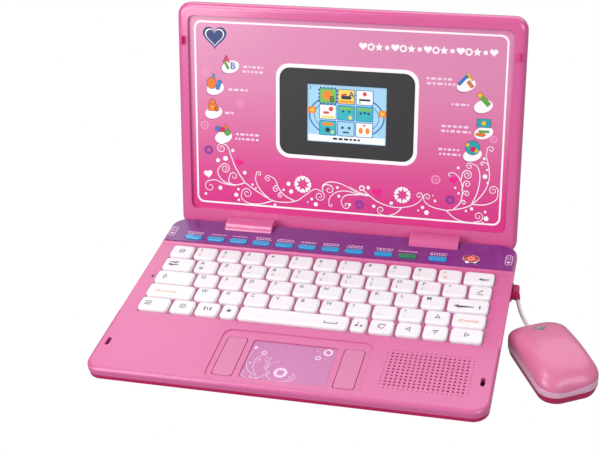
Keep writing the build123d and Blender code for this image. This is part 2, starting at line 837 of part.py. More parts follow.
with BuildPart() as lid_back:
    with BuildSketch(lid.offset(seam_z)):
        with Locations((0, lid_mid)):
            RectangleRounded(lid_width - 0.6, lid_length - 0.6, lid_corner - 0.3)
    extrude(amount=back_z - seam_z)
    fillet(lid_back.faces().sort_by(Axis(lid.origin, lid.z_dir))[0].edges(), back_edge_radius)
    with BuildSketch(lid.offset(seam_z)):
        with Locations((0, lid_mid)):
            RectangleRounded(lid_width - 2 * wall - 1, lid_length - 2 * wall - 1, lid_corner - wall)
    extrude(amount=back_z + wall + 2.4 - seam_z, mode=Mode.SUBTRACT)
    with BuildSketch(lid.offset(back_z + wall + 2.5)):
        with Locations((0, lid_mid)):
            RectangleRounded(lid_width - 2 * wall - 6, lid_length - 2 * wall - 6, lid_corner - wall - 2)
    extrude(amount=-2.5, mode=Mode.SUBTRACT)
    with BuildSketch(lid.offset(seam_z - 0.1)):
        with Locations(*lid_screw_places):
            Circle(screw_head_radius + 0.8)
    extrude(amount=back_z + wall + 0.2 - seam_z)
    with BuildSketch(lid.offset(back_z - 1)):
        with Locations(*lid_screw_places):
            Circle(screw_head_radius + 0.2)
    extrude(amount=lid_screw_seat - back_z + 1, mode=Mode.SUBTRACT)
    with BuildSketch(lid.offset(lid_screw_seat)):
        with Locations(*lid_screw_places):
            Circle(screw_radius + 0.2)
    extrude(amount=8, mode=Mode.SUBTRACT)
    with BuildSketch(lid.offset(back_z)):
        with Locations((badge_x, badge_y)):
            with Locations(Location((0, 0, 0), (0, 0, 180))):
                heart(badge_size)
    extrude(amount=0.8, mode=Mode.SUBTRACT)
save(lid_back, "lid_back_cover")

with BuildPart() as lid_badge:
    with BuildSketch(lid.offset(back_z - 1.0)):
        with Locations((badge_x, badge_y)):
            with Locations(Location((0, 0, 0), (0, 0, 180))):
                heart(badge_size)
    extrude(amount=1.8)
save(lid_badge, "lid_badge")

with BuildPart() as lid_screws:
    with BuildSketch(lid.offset(lid_screw_seat)):
        with Locations(*lid_screw_places):
            Circle(screw_head_radius)
    extrude(amount=-screw_head_height)
    with BuildSketch(lid.offset(lid_screw_seat)):
        with Locations(*lid_screw_places):
            Circle(screw_radius)
    extrude(amount=rim_z - 3.2 - lid_screw_seat)
save(lid_screws, "lid_screws")

with BuildPart() as faceplate:
    with BuildSketch(lid.offset(recess_z)):
        with Locations((0, recess_mid)):
            RectangleRounded(2 * (recess_x + faceplate_lap), recess_length + 2 * faceplate_lap, 5.0)
        with Locations((0, window_s)):
            RectangleRounded(window_width, window_height, 8.0, mode=Mode.SUBTRACT)
    extrude(amount=-faceplate_thickness)
save(faceplate, "display_faceplate")

with BuildPart() as window:
    with BuildSketch(lid.offset(recess_z - 0.2)):
        with Locations((0, window_s)):
            RectangleRounded(window_width, window_height, 8.0)
    extrude(amount=0.2 - faceplate_thickness)
save(window, "screen_window")

with BuildPart() as lcd:
    with BuildSketch(lid.offset(recess_z - faceplate_thickness)):
        with Locations((0, window_s)):
            Rectangle(lcd_width, lcd_height)
    extrude(amount=-lcd_depth)
save(lcd, "lcd_module")

with BuildPart() as catches:
    with BuildSketch(lid.offset(rim_z - 1.6)):
        with Locations(*hook_places):
            Rectangle(hook_width, hook_length)
    extrude(amount=hook_reach + 1.6)
    fillet(catches.faces().group_by(Axis(lid.origin, lid.z_dir))[-1].edges(), 0.6)
save(catches, "lid_catches")

# ---- Mouse ----
# One outer form and one inner form, cut into a lower shell, a middle shell and a top cover
mouse_forms = []
for inset in (0, mouse_wall):
    with BuildPart() as form:
        with BuildSketch(mouse.offset(mouse_foot + inset)):
            RectangleRounded(
                mouse_width - 2 * mouse_tuck - 2 * inset,
                mouse_length - 2 * mouse_tuck - 2 * inset,
                mouse_corner - mouse_tuck,
            )
        with BuildSketch(mouse.offset(mouse_seam_low)):
            RectangleRounded(
                mouse_width - 2 * inset, mouse_length - 2 * inset, mouse_corner - inset
            )
        loft(ruled=True)
        with BuildSketch(mouse.offset(mouse_seam_low)):
            RectangleRounded(
                mouse_width - 2 * inset, mouse_length - 2 * inset, mouse_corner - inset
            )
        extrude(amount=mouse_peak - mouse_seam_low + 1)
        # the back line of the mouse, seen from its side
        half = mouse_length / 2 + 1
        with BuildSketch(Plane(origin=mouse.origin, x_dir=mouse.y_dir, z_dir=mouse.x_dir)):
            with BuildLine():
                Polyline(
                    (half, mouse_nose_height - inset),
                    (half, 0),
                    (-half, 0),
                    (-half, mouse_tail_height - inset),
                )
                ThreePointArc(
                    (-half, mouse_tail_height - inset),
                    (-half / 6, mouse_peak - inset),
                    (half, mouse_nose_height - inset),
                )
            make_face()
        extrude(amount=mouse_width, both=True, mode=Mode.INTERSECT)
        fillet(
            form.faces().filter_by(GeomType.CYLINDER).sort_by(Axis.Z)[-1].edges(), 6.5 - inset
        )
    mouse_forms.append(form.part)
mouse_outside, mouse_inside = mouse_forms
pivot_plane = Plane(
    origin=mouse.from_local_coords((0, cover_pivot_y, cover_pivot_z)),
    x_dir=mouse.y_dir,
    z_dir=mouse.x_dir,
)
nose_plane = Plane(
    origin=mouse.from_local_coords((0, mouse_length / 2, nose_z)), x_dir=mouse.x_dir, z_dir=mouse.y_dir
)
crest = ThreePointArc(
    (-mouse_length / 2 - 1, mouse_tail_height),
    (-mouse_length / 12, mouse_peak),
    (mouse_length / 2 + 1, mouse_nose_height),
)
badge_spot = crest @ 0.79
badge_run = crest % 0.79
badge_plane = Plane(
    origin=mouse.from_local_coords((0, badge_spot.X, badge_spot.Y)),
    x_dir=mouse.x_dir,
    z_dir=mouse.y_dir * -badge_run.Y + mouse.z_dir * badge_run.X,
)

with BuildPart() as mouse_lower:
    with BuildSketch(mouse):
        Rectangle(mouse_width + 2, mouse_length + 2)
    extrude(amount=mouse_seam_low)
    add(mouse_outside, mode=Mode.INTERSECT)
    add(mouse_inside, mode=Mode.SUBTRACT)
    with BuildSketch(mouse):
        with Locations((0, lens_y)):
            Circle(lens_radius)
    extrude(amount=6, mode=Mode.SUBTRACT)
save(mouse_lower, "mouse_lower_shell")

with BuildPart() as mouse_middle:
    with BuildSketch(mouse.offset(mouse_seam_low)):
        Rectangle(mouse_width + 2, mouse_length + 2)
    extrude(amount=mouse_seam_high - mouse_seam_low)
    add(mouse_outside, mode=Mode.INTERSECT)
    add(mouse_inside, mode=Mode.SUBTRACT)
    # blocks at the tail that the cover hinges on
    with BuildSketch(mouse.offset(mouse_seam_low)):
        with Locations((-8, cover_pivot_y), (8, cover_pivot_y)):
            Rectangle(2.4, 5)
    extrude(amount=cover_pivot_z + 2.4 - mouse_seam_low)
    with BuildSketch(mouse.offset(mouse_seam_low)):
        with Locations((0, cover_pivot_y - 4.2)):
            Rectangle(18.4, 4.0)
    extrude(amount=cover_pivot_z - 2.4 - mouse_seam_low)
    with BuildSketch(pivot_plane.offset(-10)):
        Circle(1.2)
    extrude(amount=20, mode=Mode.SUBTRACT)
    # the cord's way in at the nose
    with BuildSketch(nose_plane.offset(-3)):
        Circle(cord_diameter / 2 + 0.05)
    extrude(amount=6, mode=Mode.SUBTRACT)
save(mouse_middle, "mouse_middle_shell")

with BuildPart() as mouse_cover:
    with BuildSketch(Plane(origin=mouse.origin, x_dir=mouse.y_dir, z_dir=mouse.x_dir)):
        with BuildLine():
            Polyline(
                (-mouse_length, mouse_seam_high + 0.2),
                (cover_pivot_y, mouse_seam_high + 0.2),
                (mouse_length, mouse_seam_high + 2 * mouse_click_gap),
                (mouse_length, mouse_peak + 4),
                (-mouse_length, mouse_peak + 4),
                close=True,
            )
        make_face()
    extrude(amount=mouse_width, both=True)
    add(mouse_outside, mode=Mode.INTERSECT)
    add(mouse_inside, mode=Mode.SUBTRACT)
    # the hinge lug and its pin at the tail, and the plunger over the switch
    with BuildSketch(pivot_plane.offset(-6.4)):
        Circle(2.0)
        with Locations((0, lug_height / 2)):
            Rectangle(2.4, lug_height)
    extrude(amount=12.8)
    with BuildSketch(pivot_plane.offset(-9.2)):
        Circle(1.15)
    extrude(amount=18.4)
    with BuildSketch(mouse.offset(switch_top + mouse_click_gap)):
        with Locations((0, switch_y)):
            Circle(2.5)
    extrude(amount=mouse_peak - 5.5 - switch_top - mouse_click_gap)
    with BuildSketch(badge_plane.offset(-0.8)):
        heart(mouse_badge_size)
    extrude(amount=4, mode=Mode.SUBTRACT)
save(mouse_cover, "mouse_top_cover")

with BuildPart() as mouse_badge:
    with BuildSketch(badge_plane.offset(-0.8)):
        heart(mouse_badge_size)
    extrude(amount=1.5)
save(mouse_badge, "mouse_badge")

with BuildPart() as mouse_board:
    with BuildSketch(mouse.offset(mouse_foot + mouse_wall + 1.0)):
        Rectangle(mouse_width - 2 * mouse_tuck - 8, mouse_length - 2 * mouse_tuck - 12)
        with Locations((0, lens_y)):
            Circle(lens_radius + 0.4, mode=Mode.SUBTRACT)
    extrude(amount=1.6)
    with BuildSketch(mouse.offset(mouse_foot + mouse_wall + 2.6)):
        with Locations((0, switch_y)):
            Rectangle(6, 6)
    extrude(amount=switch_top - mouse_foot - mouse_wall - 2.6)
save(mouse_board, "mouse_board")

with BuildPart() as mouse_lens:
    with BuildSketch(mouse.offset(mouse_foot + 0.2)):
        with Locations((0, lens_y)):
            Circle(lens_radius)
    extrude(amount=mouse_wall + 3)
save(mouse_lens, "mouse_lens")

with BuildPart() as mouse_pads:
    with BuildSketch(mouse):
        with Locations((0, pad_spread), (0, -pad_spread)):
            SlotOverall(22, 5)
    extrude(amount=mouse_foot)
save(mouse_pads, "mouse_glide_pads")

# ---- Mouse socket, plug and cord ----
with BuildPart() as socket:
    with BuildSketch(side_plane(port_face - 12, port_y, port_z)):
        Circle(socket_radius - 0.02)
        Circle(plug_radius + 0.05, mode=Mode.SUBTRACT)
    extrude(amount=11.9)
save(socket, "mouse_socket")

# Out of the plug, sagging between the two, and straight into the mouse's nose
cord_route = [
    deck.from_local_coords((149.6, -14.8, -17.0)),
    deck.from_local_coords((151.4, -20.4, -19.6)),
    deck.from_local_coords((154.0, -26.8, -21.0)),
    nose_plane.from_local_coords((0, 0, 7.0)),
    nose_plane.from_local_coords((0, 0, -1.8)),
]
runs = [b - a for a, b in zip(cord_route, cord_route[1:])]
bends = []
for before, after in zip(runs, runs[1:]):
    half_turn = math.radians(before.get_angle(after)) / 2
    bends.append(0.45 * min(before.length, after.length) / math.tan(half_turn))
print("cord bend radii, mm:", [round(bend, 1) for bend in bends])
with BuildPart() as cord:
    with BuildLine():
        route = FilletPolyline(*cord_route, radius=bends)
    with BuildSketch(Plane(origin=route @ 0, z_dir=route % 0)):
        Circle(cord_diameter / 2)
    sweep()
print("cord length, mm:", round(route.length, 1))
print("cord volume against section times length:",
      round(cord.part.volume, 1), round(math.pi * cord_diameter**2 / 4 * route.length, 1))
save(cord, "mouse_cord")

relief_length = 5.0
with BuildPart() as plug:
    with BuildSketch(side_plane(port_face + 0.2, port_y, port_z)):
        RectangleRounded(13, 8.6, 3.5)
    extrude(amount=4.6)
    fillet(plug.faces().sort_by(Axis.X)[-1].edges(), 1.6)
    with BuildSketch(side_plane(port_face - 8, port_y, port_z)):
        Circle(plug_radius)
    extrude(amount=9)
    out = runs[0].normalized()
    with BuildSketch(Plane(origin=cord_route[0] - out * relief_length, z_dir=out)):
        Circle(2.6)
    extrude(amount=relief_length, taper=7)
save(plug, "mouse_plug")
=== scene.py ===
import json
import math
import random
import bpy
import bmesh
from mathutils import Matrix, Vector


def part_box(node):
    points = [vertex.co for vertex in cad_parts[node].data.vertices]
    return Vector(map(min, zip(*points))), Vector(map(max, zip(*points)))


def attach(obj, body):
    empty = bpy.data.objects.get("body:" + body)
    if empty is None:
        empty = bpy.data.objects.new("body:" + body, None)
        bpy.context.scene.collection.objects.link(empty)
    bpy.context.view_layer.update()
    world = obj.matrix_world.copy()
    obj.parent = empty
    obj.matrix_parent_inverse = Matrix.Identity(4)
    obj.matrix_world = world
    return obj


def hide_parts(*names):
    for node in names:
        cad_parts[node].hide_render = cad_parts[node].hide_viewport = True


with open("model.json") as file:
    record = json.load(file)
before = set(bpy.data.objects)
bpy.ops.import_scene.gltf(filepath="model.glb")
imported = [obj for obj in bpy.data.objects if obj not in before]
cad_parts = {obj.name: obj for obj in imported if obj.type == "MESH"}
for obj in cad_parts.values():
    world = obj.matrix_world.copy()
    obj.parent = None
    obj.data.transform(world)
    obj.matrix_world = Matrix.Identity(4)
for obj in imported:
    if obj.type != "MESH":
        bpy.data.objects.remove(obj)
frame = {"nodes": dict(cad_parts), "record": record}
nodes = frame["nodes"]
joints = {joint["name"]: joint for joint in frame["record"]["behaviour"]["joints"]}
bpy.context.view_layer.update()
print("frame loaded:", len(nodes), "nodes")

# Places: flat pieces are drawn in millimetres on one of these, x to the right and z off the surface
mm = 0.001


def standing(origin, across, up):
    across, up = Vector(across), Vector(up)
    out = across.cross(up)
    columns = Matrix((across * mm, up * mm, out * mm)).transposed().to_4x4()
    columns.translation = origin
    return columns


layout = {
    "tilt": math.radians(4.0),  # of the deck, down towards the user
    "lean": math.radians(14.6),  # of the open lid, back from upright
    "hingeBack": 29.4,  # hinge axis on the deck
    "hingeDown": 5.6,
    "recess": -8.4,  # printed face, behind the hinge axis
    "lidTop": 186.8,
    "lidBack": -21.0,
    "mouseTurn": math.radians(29.0),
}
hinge = Vector(joints["lid_hinge"]["pos_m"])
deckBack = Vector((0, math.cos(layout["tilt"]), math.sin(layout["tilt"])))
deckUp = Vector((0, -math.sin(layout["tilt"]), math.cos(layout["tilt"])))
deckOrigin = hinge - deckBack * layout["hingeBack"] * mm + deckUp * layout["hingeDown"] * mm
deck = standing(deckOrigin, (1, 0, 0), deckBack)
lidUp = Vector((0, math.sin(layout["lean"]), math.cos(layout["lean"])))
lid = standing(hinge, (1, 0, 0), lidUp)
lidOut = Vector((1, 0, 0)).cross(lidUp)
backOrigin = hinge + (lidUp * layout["lidTop"] + lidOut * layout["lidBack"]) * mm
lidBack = standing(backOrigin, (1, 0, 0), -lidUp)
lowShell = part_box("mouse_lower_shell")
mouseMiddle = (Vector(lowShell[0]) + Vector(lowShell[1])) / 2
mouseMiddle.z = 0
noseWay = Vector((-math.sin(layout["mouseTurn"]), math.cos(layout["mouseTurn"]), 0))
mouse = standing(mouseMiddle, (math.cos(layout["mouseTurn"]), math.sin(layout["mouseTurn"]), 0), noseWay)


# Colours, written as on a screen and turned to linear light
def tint(code):
    parts = [int(code[i : i + 2], 16) / 255 for i in (0, 2, 4)]
    return [p / 12.92 if p <= 0.04045 else ((p + 0.055) / 1.055) ** 2.4 for p in parts] + [1.0]


def wire(tree, *runs):
    for source, output, target, socket in runs:
        tree.links.new(source.outputs[output], target.inputs[socket])


# Shared shader effects
def newGroup(name, inputs, outputs):
    group = bpy.data.node_groups.new(name, "ShaderNodeTree")
    for label, kind, value in inputs:
        socket = group.interface.new_socket(label, in_out="INPUT", socket_type=kind)
        socket.default_value = value
    for label, kind in outputs:
        group.interface.new_socket(label, in_out="OUTPUT", socket_type=kind)
    start = group.nodes.new("NodeGroupInput")
    end = group.nodes.new("NodeGroupOutput")
    return group, start, end


def noiseAt(group, start, scale, detail):
    where = group.nodes.new("ShaderNodeTexCoord")
    noise = group.nodes.new("ShaderNodeTexNoise")
    noise.inputs["Detail"].default_value = detail
    wire(
        group,
        (where, "Object", noise, "Vector"),
        (start, scale, noise, "Scale"),
    )
    return noise


def spread(group, value, low, high):
    ramp = group.nodes.new("ShaderNodeMapRange")
    ramp.inputs["From Min"].default_value = 0.3
    ramp.inputs["From Max"].default_value = 0.7
    group.links.new(value, ramp.inputs["Value"])
    group.links.new(low, ramp.inputs["To Min"])
    group.links.new(high, ramp.inputs["To Max"])
    return ramp.outputs["Result"]


# Moulded plastic: slow shade changes, a roughness that wanders, and a fine orange peel
def makeMouldedSkin():
    group, start, end = newGroup(
        "mouldedSkin",
        [
            ("Colour", "NodeSocketColor", (1, 1, 1, 1)),
            ("Shade", "NodeSocketColor", (0.8, 0.8, 0.8, 1)),
            ("Clouds", "NodeSocketFloat", 9.0),
            ("Grain", "NodeSocketFloat", 900.0),
            ("Smoothest", "NodeSocketFloat", 0.2),
            ("Roughest", "NodeSocketFloat", 0.3),
        ],
        [("Colour", "NodeSocketColor"), ("Roughness", "NodeSocketFloat"), ("Height", "NodeSocketFloat")],
    )
    clouds = noiseAt(group, start, "Clouds", 2.0)
    grain = noiseAt(group, start, "Grain", 3.0)
    blend = group.nodes.new("ShaderNodeMix")
    blend.data_type = "RGBA"
    wire(
        group,
        (clouds, "Fac", blend, "Factor"),
        (start, "Colour", blend, "A"),
        (start, "Shade", blend, "B"),
    )
    rough = spread(group, clouds.outputs["Fac"], start.outputs["Smoothest"], start.outputs["Roughest"])
    wire(group, (blend, "Result", end, "Colour"))
    group.links.new(rough, end.inputs["Roughness"])
    wire(group, (grain, "Fac", end, "Height"))
    return group


# A colour that changes along one direction of the object, from one place to another
def makeFadeAlong():
    group, start, end = newGroup(
        "fadeAlong",
        [
            ("Origin", "NodeSocketVector", (0, 0, 0)),
            ("Way", "NodeSocketVector", (0, 0, 1)),
            ("Near", "NodeSocketColor", (1, 1, 1, 1)),
            ("Far", "NodeSocketColor", (0, 0, 0, 1)),
        ],
        [("Colour", "NodeSocketColor")],
    )
    where = group.nodes.new("ShaderNodeTexCoord")
    away = group.nodes.new("ShaderNodeVectorMath")
    away.operation = "SUBTRACT"
    dot = group.nodes.new("ShaderNodeVectorMath")
    dot.operation = "DOT_PRODUCT"
    ease = group.nodes.new("ShaderNodeMapRange")
    ease.interpolation_type = "SMOOTHSTEP"
    blend = group.nodes.new("ShaderNodeMix")
    blend.data_type = "RGBA"
    wire(
        group,
        (where, "Object", away, 0),
        (start, "Origin", away, 1),
        (away, "Vector", dot, 0),
        (start, "Way", dot, 1),
        (dot, "Value", ease, "Value"),
        (ease, "Result", blend, "Factor"),
        (start, "Near", blend, "A"),
        (start, "Far", blend, "B"),
        (blend, "Result", end, "Colour"),
    )
    return group


mouldedSkin = makeMouldedSkin()
fadeAlong = makeFadeAlong()


def useGroup(tree, group, **values):
    node = tree.nodes.new("ShaderNodeGroup")
    node.node_tree = group
    for label, value in values.items():
        node.inputs[label].default_value = value
    return node


def newMaterial(name):
    material = bpy.data.materials.new(name)
    material.use_nodes = True
    return material, material.node_tree, material.node_tree.nodes["Principled BSDF"]


def raised(tree, height, shader, strength, distance, edge):
    bump = tree.nodes.new("ShaderNodeBump")
    if edge:
        soft = tree.nodes.new("ShaderNodeBevel")
        soft.samples = 4
        soft.inputs["Radius"].default_value = edge
        wire(tree, (soft, "Normal", bump, "Normal"))
    bump.inputs["Strength"].default_value = strength
    bump.inputs["Distance"].default_value = distance
    tree.links.new(height, bump.inputs["Height"])
    wire(tree, (bump, "Normal", shader, "Normal"))


# Two near colours, how glossy, how bumpy, how far its edges look rounded, and a fade if it has one
def plastic(name, colour, shade, gloss=(0.22, 0.34), coat=0.25, bump=0.06, grain=900.0, fade=None, edge=0.0, **sockets):
    material, tree, shader = newMaterial(name)
    skin = useGroup(
        tree,
        mouldedSkin,
        Colour=tint(colour),
        Shade=tint(shade),
        Grain=grain,
        Smoothest=gloss[0],
        Roughest=gloss[1],
    )
    if fade:
        origin, way = fade["origin"], fade["way"]
        near = useGroup(tree, fadeAlong, Origin=origin, Way=way, Near=tint(colour), Far=tint(fade["far"]))
        wire(tree, (near, "Colour", skin, "Colour"))
        dim = useGroup(tree, fadeAlong, Origin=origin, Way=way, Near=tint(shade), Far=tint(fade["farShade"]))
        wire(tree, (dim, "Colour", skin, "Shade"))
    wire(
        tree,
        (skin, "Colour", shader, "Base Color"),
        (skin, "Roughness", shader, "Roughness"),
    )
    raised(tree, skin.outputs["Height"], shader, bump, 0.0004, edge)
    shader.inputs["Coat Weight"].default_value = coat
    shader.inputs["Coat Roughness"].default_value = 0.12
    for label, value in sockets.items():
        shader.inputs[label.replace("_", " ")].default_value = value
    return material


# A display picture: colour that gives off some of its own light
def lit(name, colour, shade, strength):
    material = plastic(name, colour, shade, gloss=(0.3, 0.4), coat=0.0, bump=0.0)
    shader = material.node_tree.nodes["Principled BSDF"]
    shader.inputs["Emission Color"].default_value = tint(colour)
    shader.inputs["Emission Strength"].default_value = strength
    return material


panelFade = {
    "origin": lid @ Vector((0, 12, 0)),
    "way": lidUp / (135 * mm),
    "far": "dc8bb3",
    "farShade": "d784ad",
}
strapFade = {"origin": deckOrigin, "way": Vector((1, 0, 0)) / (290 * mm), "far": "842f86", "farShade": "7e2b80"}
# Each finish: its colour, a shade near it, and what sets it apart
plastics = {
    "casePink": ("d4669d", "cf6197", dict(gloss=(0.24, 0.34), coat=0.3, edge=0.0003)),
    "lidPink": ("d95f9b", "d55a96", dict(gloss=(0.18, 0.28), coat=0.5, edge=0.0006)),
    "coverPink": ("d8508e", "d44c8a", dict(gloss=(0.12, 0.2), coat=0.7)),
    "deepMagenta": ("c2065c", "b60454", dict(gloss=(0.4, 0.5), coat=0.05, edge=0.0006)),
    "catchPink": ("ee2f8f", "e32886", dict(gloss=(0.2, 0.3))),
    "stripPurple": ("7f2d86", "792a80", dict(gloss=(0.24, 0.34), coat=0.3, fade=strapFade, edge=0.0006)),
    "panelPrint": ("da3389", "d63085", dict(gloss=(0.26, 0.36), coat=0.2, fade=panelFade)),
    "keyWhite": ("f1eff2", "ebe8ed", dict(gloss=(0.3, 0.42), coat=0.1, Subsurface_Weight=0.12, Subsurface_Scale=0.002)),
    "legendGrey": ("55525c", "4c4953", dict(gloss=(0.4, 0.5), coat=0.0)),
    "legendOrange": ("f0b27c", "eaa66c", dict(gloss=(0.4, 0.5), coat=0.0)),
    "pillBlue": ("149fd8", "0f93ce", dict(gloss=(0.12, 0.2), coat=0.4)),
    "pillGreen": ("0d8560", "0a7a57", dict(gloss=(0.12, 0.2), coat=0.4)),
    "powerOrange": ("ec5a22", "e24f1b", dict(gloss=(0.14, 0.24), coat=0.5)),
    "padPearl": ("c273a8", "bd6da2", dict(gloss=(0.28, 0.4), coat=0.2, grain=1600.0, edge=0.0006)),
    "padButtonPink": ("cf709f", "ca6b9a", dict(gloss=(0.24, 0.34), coat=0.3, edge=0.0006)),
    "mousePearl": ("e2b0cb", "dca6c4", dict(gloss=(0.24, 0.34), coat=0.3, Sheen_Weight=0.1)),
    "mousePink": ("d9769e", "d5719a", dict(gloss=(0.34, 0.42), coat=0.3)),
    "maskDark": ("38383a", "353537", dict(gloss=(0.4, 0.5), coat=0.0)),
    "lampDark": ("2b0c1c", "240a18", dict(gloss=(0.2, 0.3), coat=0.1)),
    "rubberBlack": ("1b1b1e", "141416", dict(gloss=(0.55, 0.7), coat=0.0, bump=0.2)),
    "domeGrey": ("8e8c93", "848289", dict(gloss=(0.5, 0.65), coat=0.0, bump=0.15)),
    "boardGreen": ("1e5c3a", "194f31", dict(gloss=(0.3, 0.45), coat=0.2, grain=300.0)),
    "cellWrap": ("2a2f36", "22262c", dict(gloss=(0.2, 0.3), coat=0.4)),
    # speaker and mouse socket: dark maroon; under the grille this is partly the speaker's own dark colour and partly
    # painted shade for the holes over it
    "holeShadeDark": ("2c0a1c", "240817", dict(gloss=(0.5, 0.6), coat=0.0, bump=0.25)),
    "cordWhite": ("efedf2", "e8e5ec", dict(gloss=(0.36, 0.46), coat=0.05, grain=400.0)),
    "steel": ("b9babd", "a9aaae", dict(gloss=(0.22, 0.36), coat=0.0, bump=0.1, Metallic=1.0)),
    "chrome": ("dcdce0", "d2d2d8", dict(gloss=(0.06, 0.12), coat=0.0, bump=0.02, Metallic=1.0)),
    "clearPane": ("16181c", "121418", dict(gloss=(0.05, 0.1), coat=0.0, bump=0.0, Alpha=0.12)),
    "lensRed": ("b03a4a", "a23040", dict(gloss=(0.05, 0.1), coat=0.4, bump=0.0, Alpha=0.5)),
}
inks = {
    "inkWhite": ("fdf9fb", "f7f1f5"), "inkSoft": ("f4d6ea", "efcce4"), "inkPale": ("f59ccb", "f193c5"),
    "inkPurple": ("8e3aa0", "843297"), "inkHot": ("f0148c", "e60f84"), "inkRed": ("d8104f", "cc0c48"),
    "inkNavy": ("0a2f78", "08286a"), "inkEdge": ("5b3a4e", "573649"), "inkShade": ("b4568f", "ad5088"),
    "inkBlue": ("2e7fce", "2874c2"), "inkTeal": ("2aa7b4", "239ba8"), "inkGreen": ("5fae3c", "55a233"),
    "inkYellow": ("f2c230", "eab826"), "inkOrange": ("ee7a22", "e66f1a"),
}
glows = {
    "screenSky": ("a9d6ee", "8fc3e4"), "screenDeep": ("3f78b4", "356ba6"), "screenWhite": ("f4f6f4", "e9edf0"),
    "screenTeal": ("39b6bd", "2ea6b0"), "screenGreen": ("7cbf5a", "6fb24e"), "screenYellow": ("f2d56a", "ecca58"),
    "screenOrange": ("f08a30", "e97c22"), "screenRed": ("d64a4a", "ca3f40"), "screenInk": ("2f3f58", "28374e"),
}
finishes = {name: plastic(name, colour, shade, **rest) for name, (colour, shade, rest) in plastics.items()}
for name, (colour, shade) in inks.items():
    finishes[name] = plastic(name, colour, shade, gloss=(0.3, 0.4), coat=0.1)
for name, (colour, shade) in glows.items():
    finishes[name] = lit(name, colour, shade, 0.1 if name == "screenInk" else 0.35)
print("materials:", len(finishes))

finishNodes = {
    "casePink": "base_upper_case",
    "stripPurple": "function_panel",
    "deepMagenta": "base_lower_case battery_door mouse_lower_shell mouse_plug",
    "steel": "case_screws battery_contacts hinge_pins lid_screws",
    "cellWrap": "battery_cells",
    "rubberBlack": "base_feet mouse_glide_pads",
    "domeGrey": "keyboard_membrane",
    "boardGreen": "main_board touchpad_board mouse_board",
    # the speaker's dark maroon also paints the shade seen in the grille holes
    "holeShadeDark": "speaker mouse_socket",
    "padPearl": "touchpad_plate",
    "padButtonPink": "touchpad_button_left touchpad_button_right",
    "lampDark": "caps_lock_lamp",
    "pillBlue": "subject_buttons level_button volume_button",
    "pillGreen": "games_button",
    "chrome": "power_button_ring lid_badge mouse_badge",
    "powerOrange": "power_button",
    "lidPink": "lid_front_frame",
    "coverPink": "lid_back_cover",
    "panelPrint": "display_faceplate",
    "clearPane": "screen_window",
    "maskDark": "lcd_module",
    "catchPink": "lid_catches",
    "mousePearl": "mouse_middle_shell",
    "mousePink": "mouse_top_cover",
    "lensRed": "mouse_lens",
    "cordWhite": "mouse_cord",
}
nodeFinish = {name: finish for finish, names in finishNodes.items() for name in names.split()}
for name, node in nodes.items():
    node.data.materials.clear()
    node.data.materials.append(finishes[nodeFinish.get(name, "keyWhite")])


# Building flat prints: loops of points in millimetres, filled, and given the thickness of ink
inkThickness = 0.04


def arc(cx, cy, rx, ry=None, start=0.0, end=360.0, steps=24):
    ry = rx if ry is None else ry
    angles = [math.radians(start + (end - start) * i / steps) for i in range(steps + (end - start < 360))]
    return [(cx + rx * math.cos(a), cy + ry * math.sin(a)) for a in angles]


def bar(cx, cy, width, height, radius=None):
    radius = min(width, height) / 2 * 0.98 if radius is None else radius
    loop = []
    for sx, sy, start in ((1, 1, 0), (-1, 1, 90), (-1, -1, 180), (1, -1, 270)):
        x, y = cx + sx * (width / 2 - radius), cy + sy * (height / 2 - radius)
        loop += arc(x, y, radius, start=start, end=start + 90, steps=5)
    return loop


def turned(loop, degrees, cx, cy):
    c, s = math.cos(math.radians(degrees)), math.sin(math.radians(degrees))
    return [(cx + (x - cx) * c - (y - cy) * s, cy + (x - cx) * s + (y - cy) * c) for x, y in loop]


def heart(cx, cy, size, turn=0.0):
    loop = []
    for i in range(28):
        a = 2 * math.pi * i / 28
        x = 16 * math.sin(a) ** 3
        y = 13 * math.cos(a) - 5 * math.cos(2 * a) - 2 * math.cos(3 * a) - math.cos(4 * a) + 2.5
        loop.append((cx + x * size / 32, cy + y * size / 32))
    return turned(loop, turn, cx, cy)


def star(cx, cy, size, points=5, inner=0.45):
    loop = []
    for i in range(points * 2):
        radius = size / 2 * (1 if i % 2 == 0 else inner)
        a = math.pi / 2 + math.pi * i / points
        loop.append((cx + radius * math.cos(a), cy + radius * math.sin(a)))
    return loop


def grown(loops, thickness=inkThickness):
    curve = bpy.data.curves.new("shape", "CURVE")
    curve.dimensions = "2D"
    curve.fill_mode = "BOTH"
    curve.extrude = thickness / 2
    for loop in loops:
        spline = curve.splines.new("POLY")
        spline.points.add(len(loop) - 1)
        for point, (x, y) in zip(spline.points, loop):
            point.co = (x, y, 0, 1)
        spline.use_cyclic_u = True
    return meshOf(curve, thickness / 2)


def lettering(text, x, y, size, thickness=inkThickness, centred=False):
    curve = bpy.data.curves.new("letter", "FONT")
    curve.body = text
    curve.size = size
    curve.extrude = thickness / 2
    curve.resolution_u = 2
    curve.offset = 0.004 * size
    curve.align_x = "CENTER" if centred else "LEFT"
    mesh = meshOf(curve, thickness / 2)
    mesh.transform(Matrix.Translation((x, y, 0)))
    return mesh


def meshOf(curve, lift):
    holder = bpy.data.objects.new("holder", curve)
    bpy.context.scene.collection.objects.link(holder)
    depsgraph = bpy.context.evaluated_depsgraph_get()
    mesh = bpy.data.meshes.new_from_object(holder.evaluated_get(depsgraph))
    bpy.data.objects.remove(holder)
    bpy.data.curves.remove(curve)
    mesh.transform(Matrix.Translation((0, 0, lift)))
    return mesh


def joined(meshes):
    whole = bmesh.new()
    for mesh in meshes:
        whole.from_mesh(mesh)
        bpy.data.meshes.remove(mesh)
    bmesh.ops.remove_doubles(whole, verts=whole.verts, dist=0.0005)
    bmesh.ops.recalc_face_normals(whole, faces=whole.faces)
    mesh = bpy.data.meshes.new("joined")
    whole.to_mesh(mesh)
    whole.free()
    return mesh


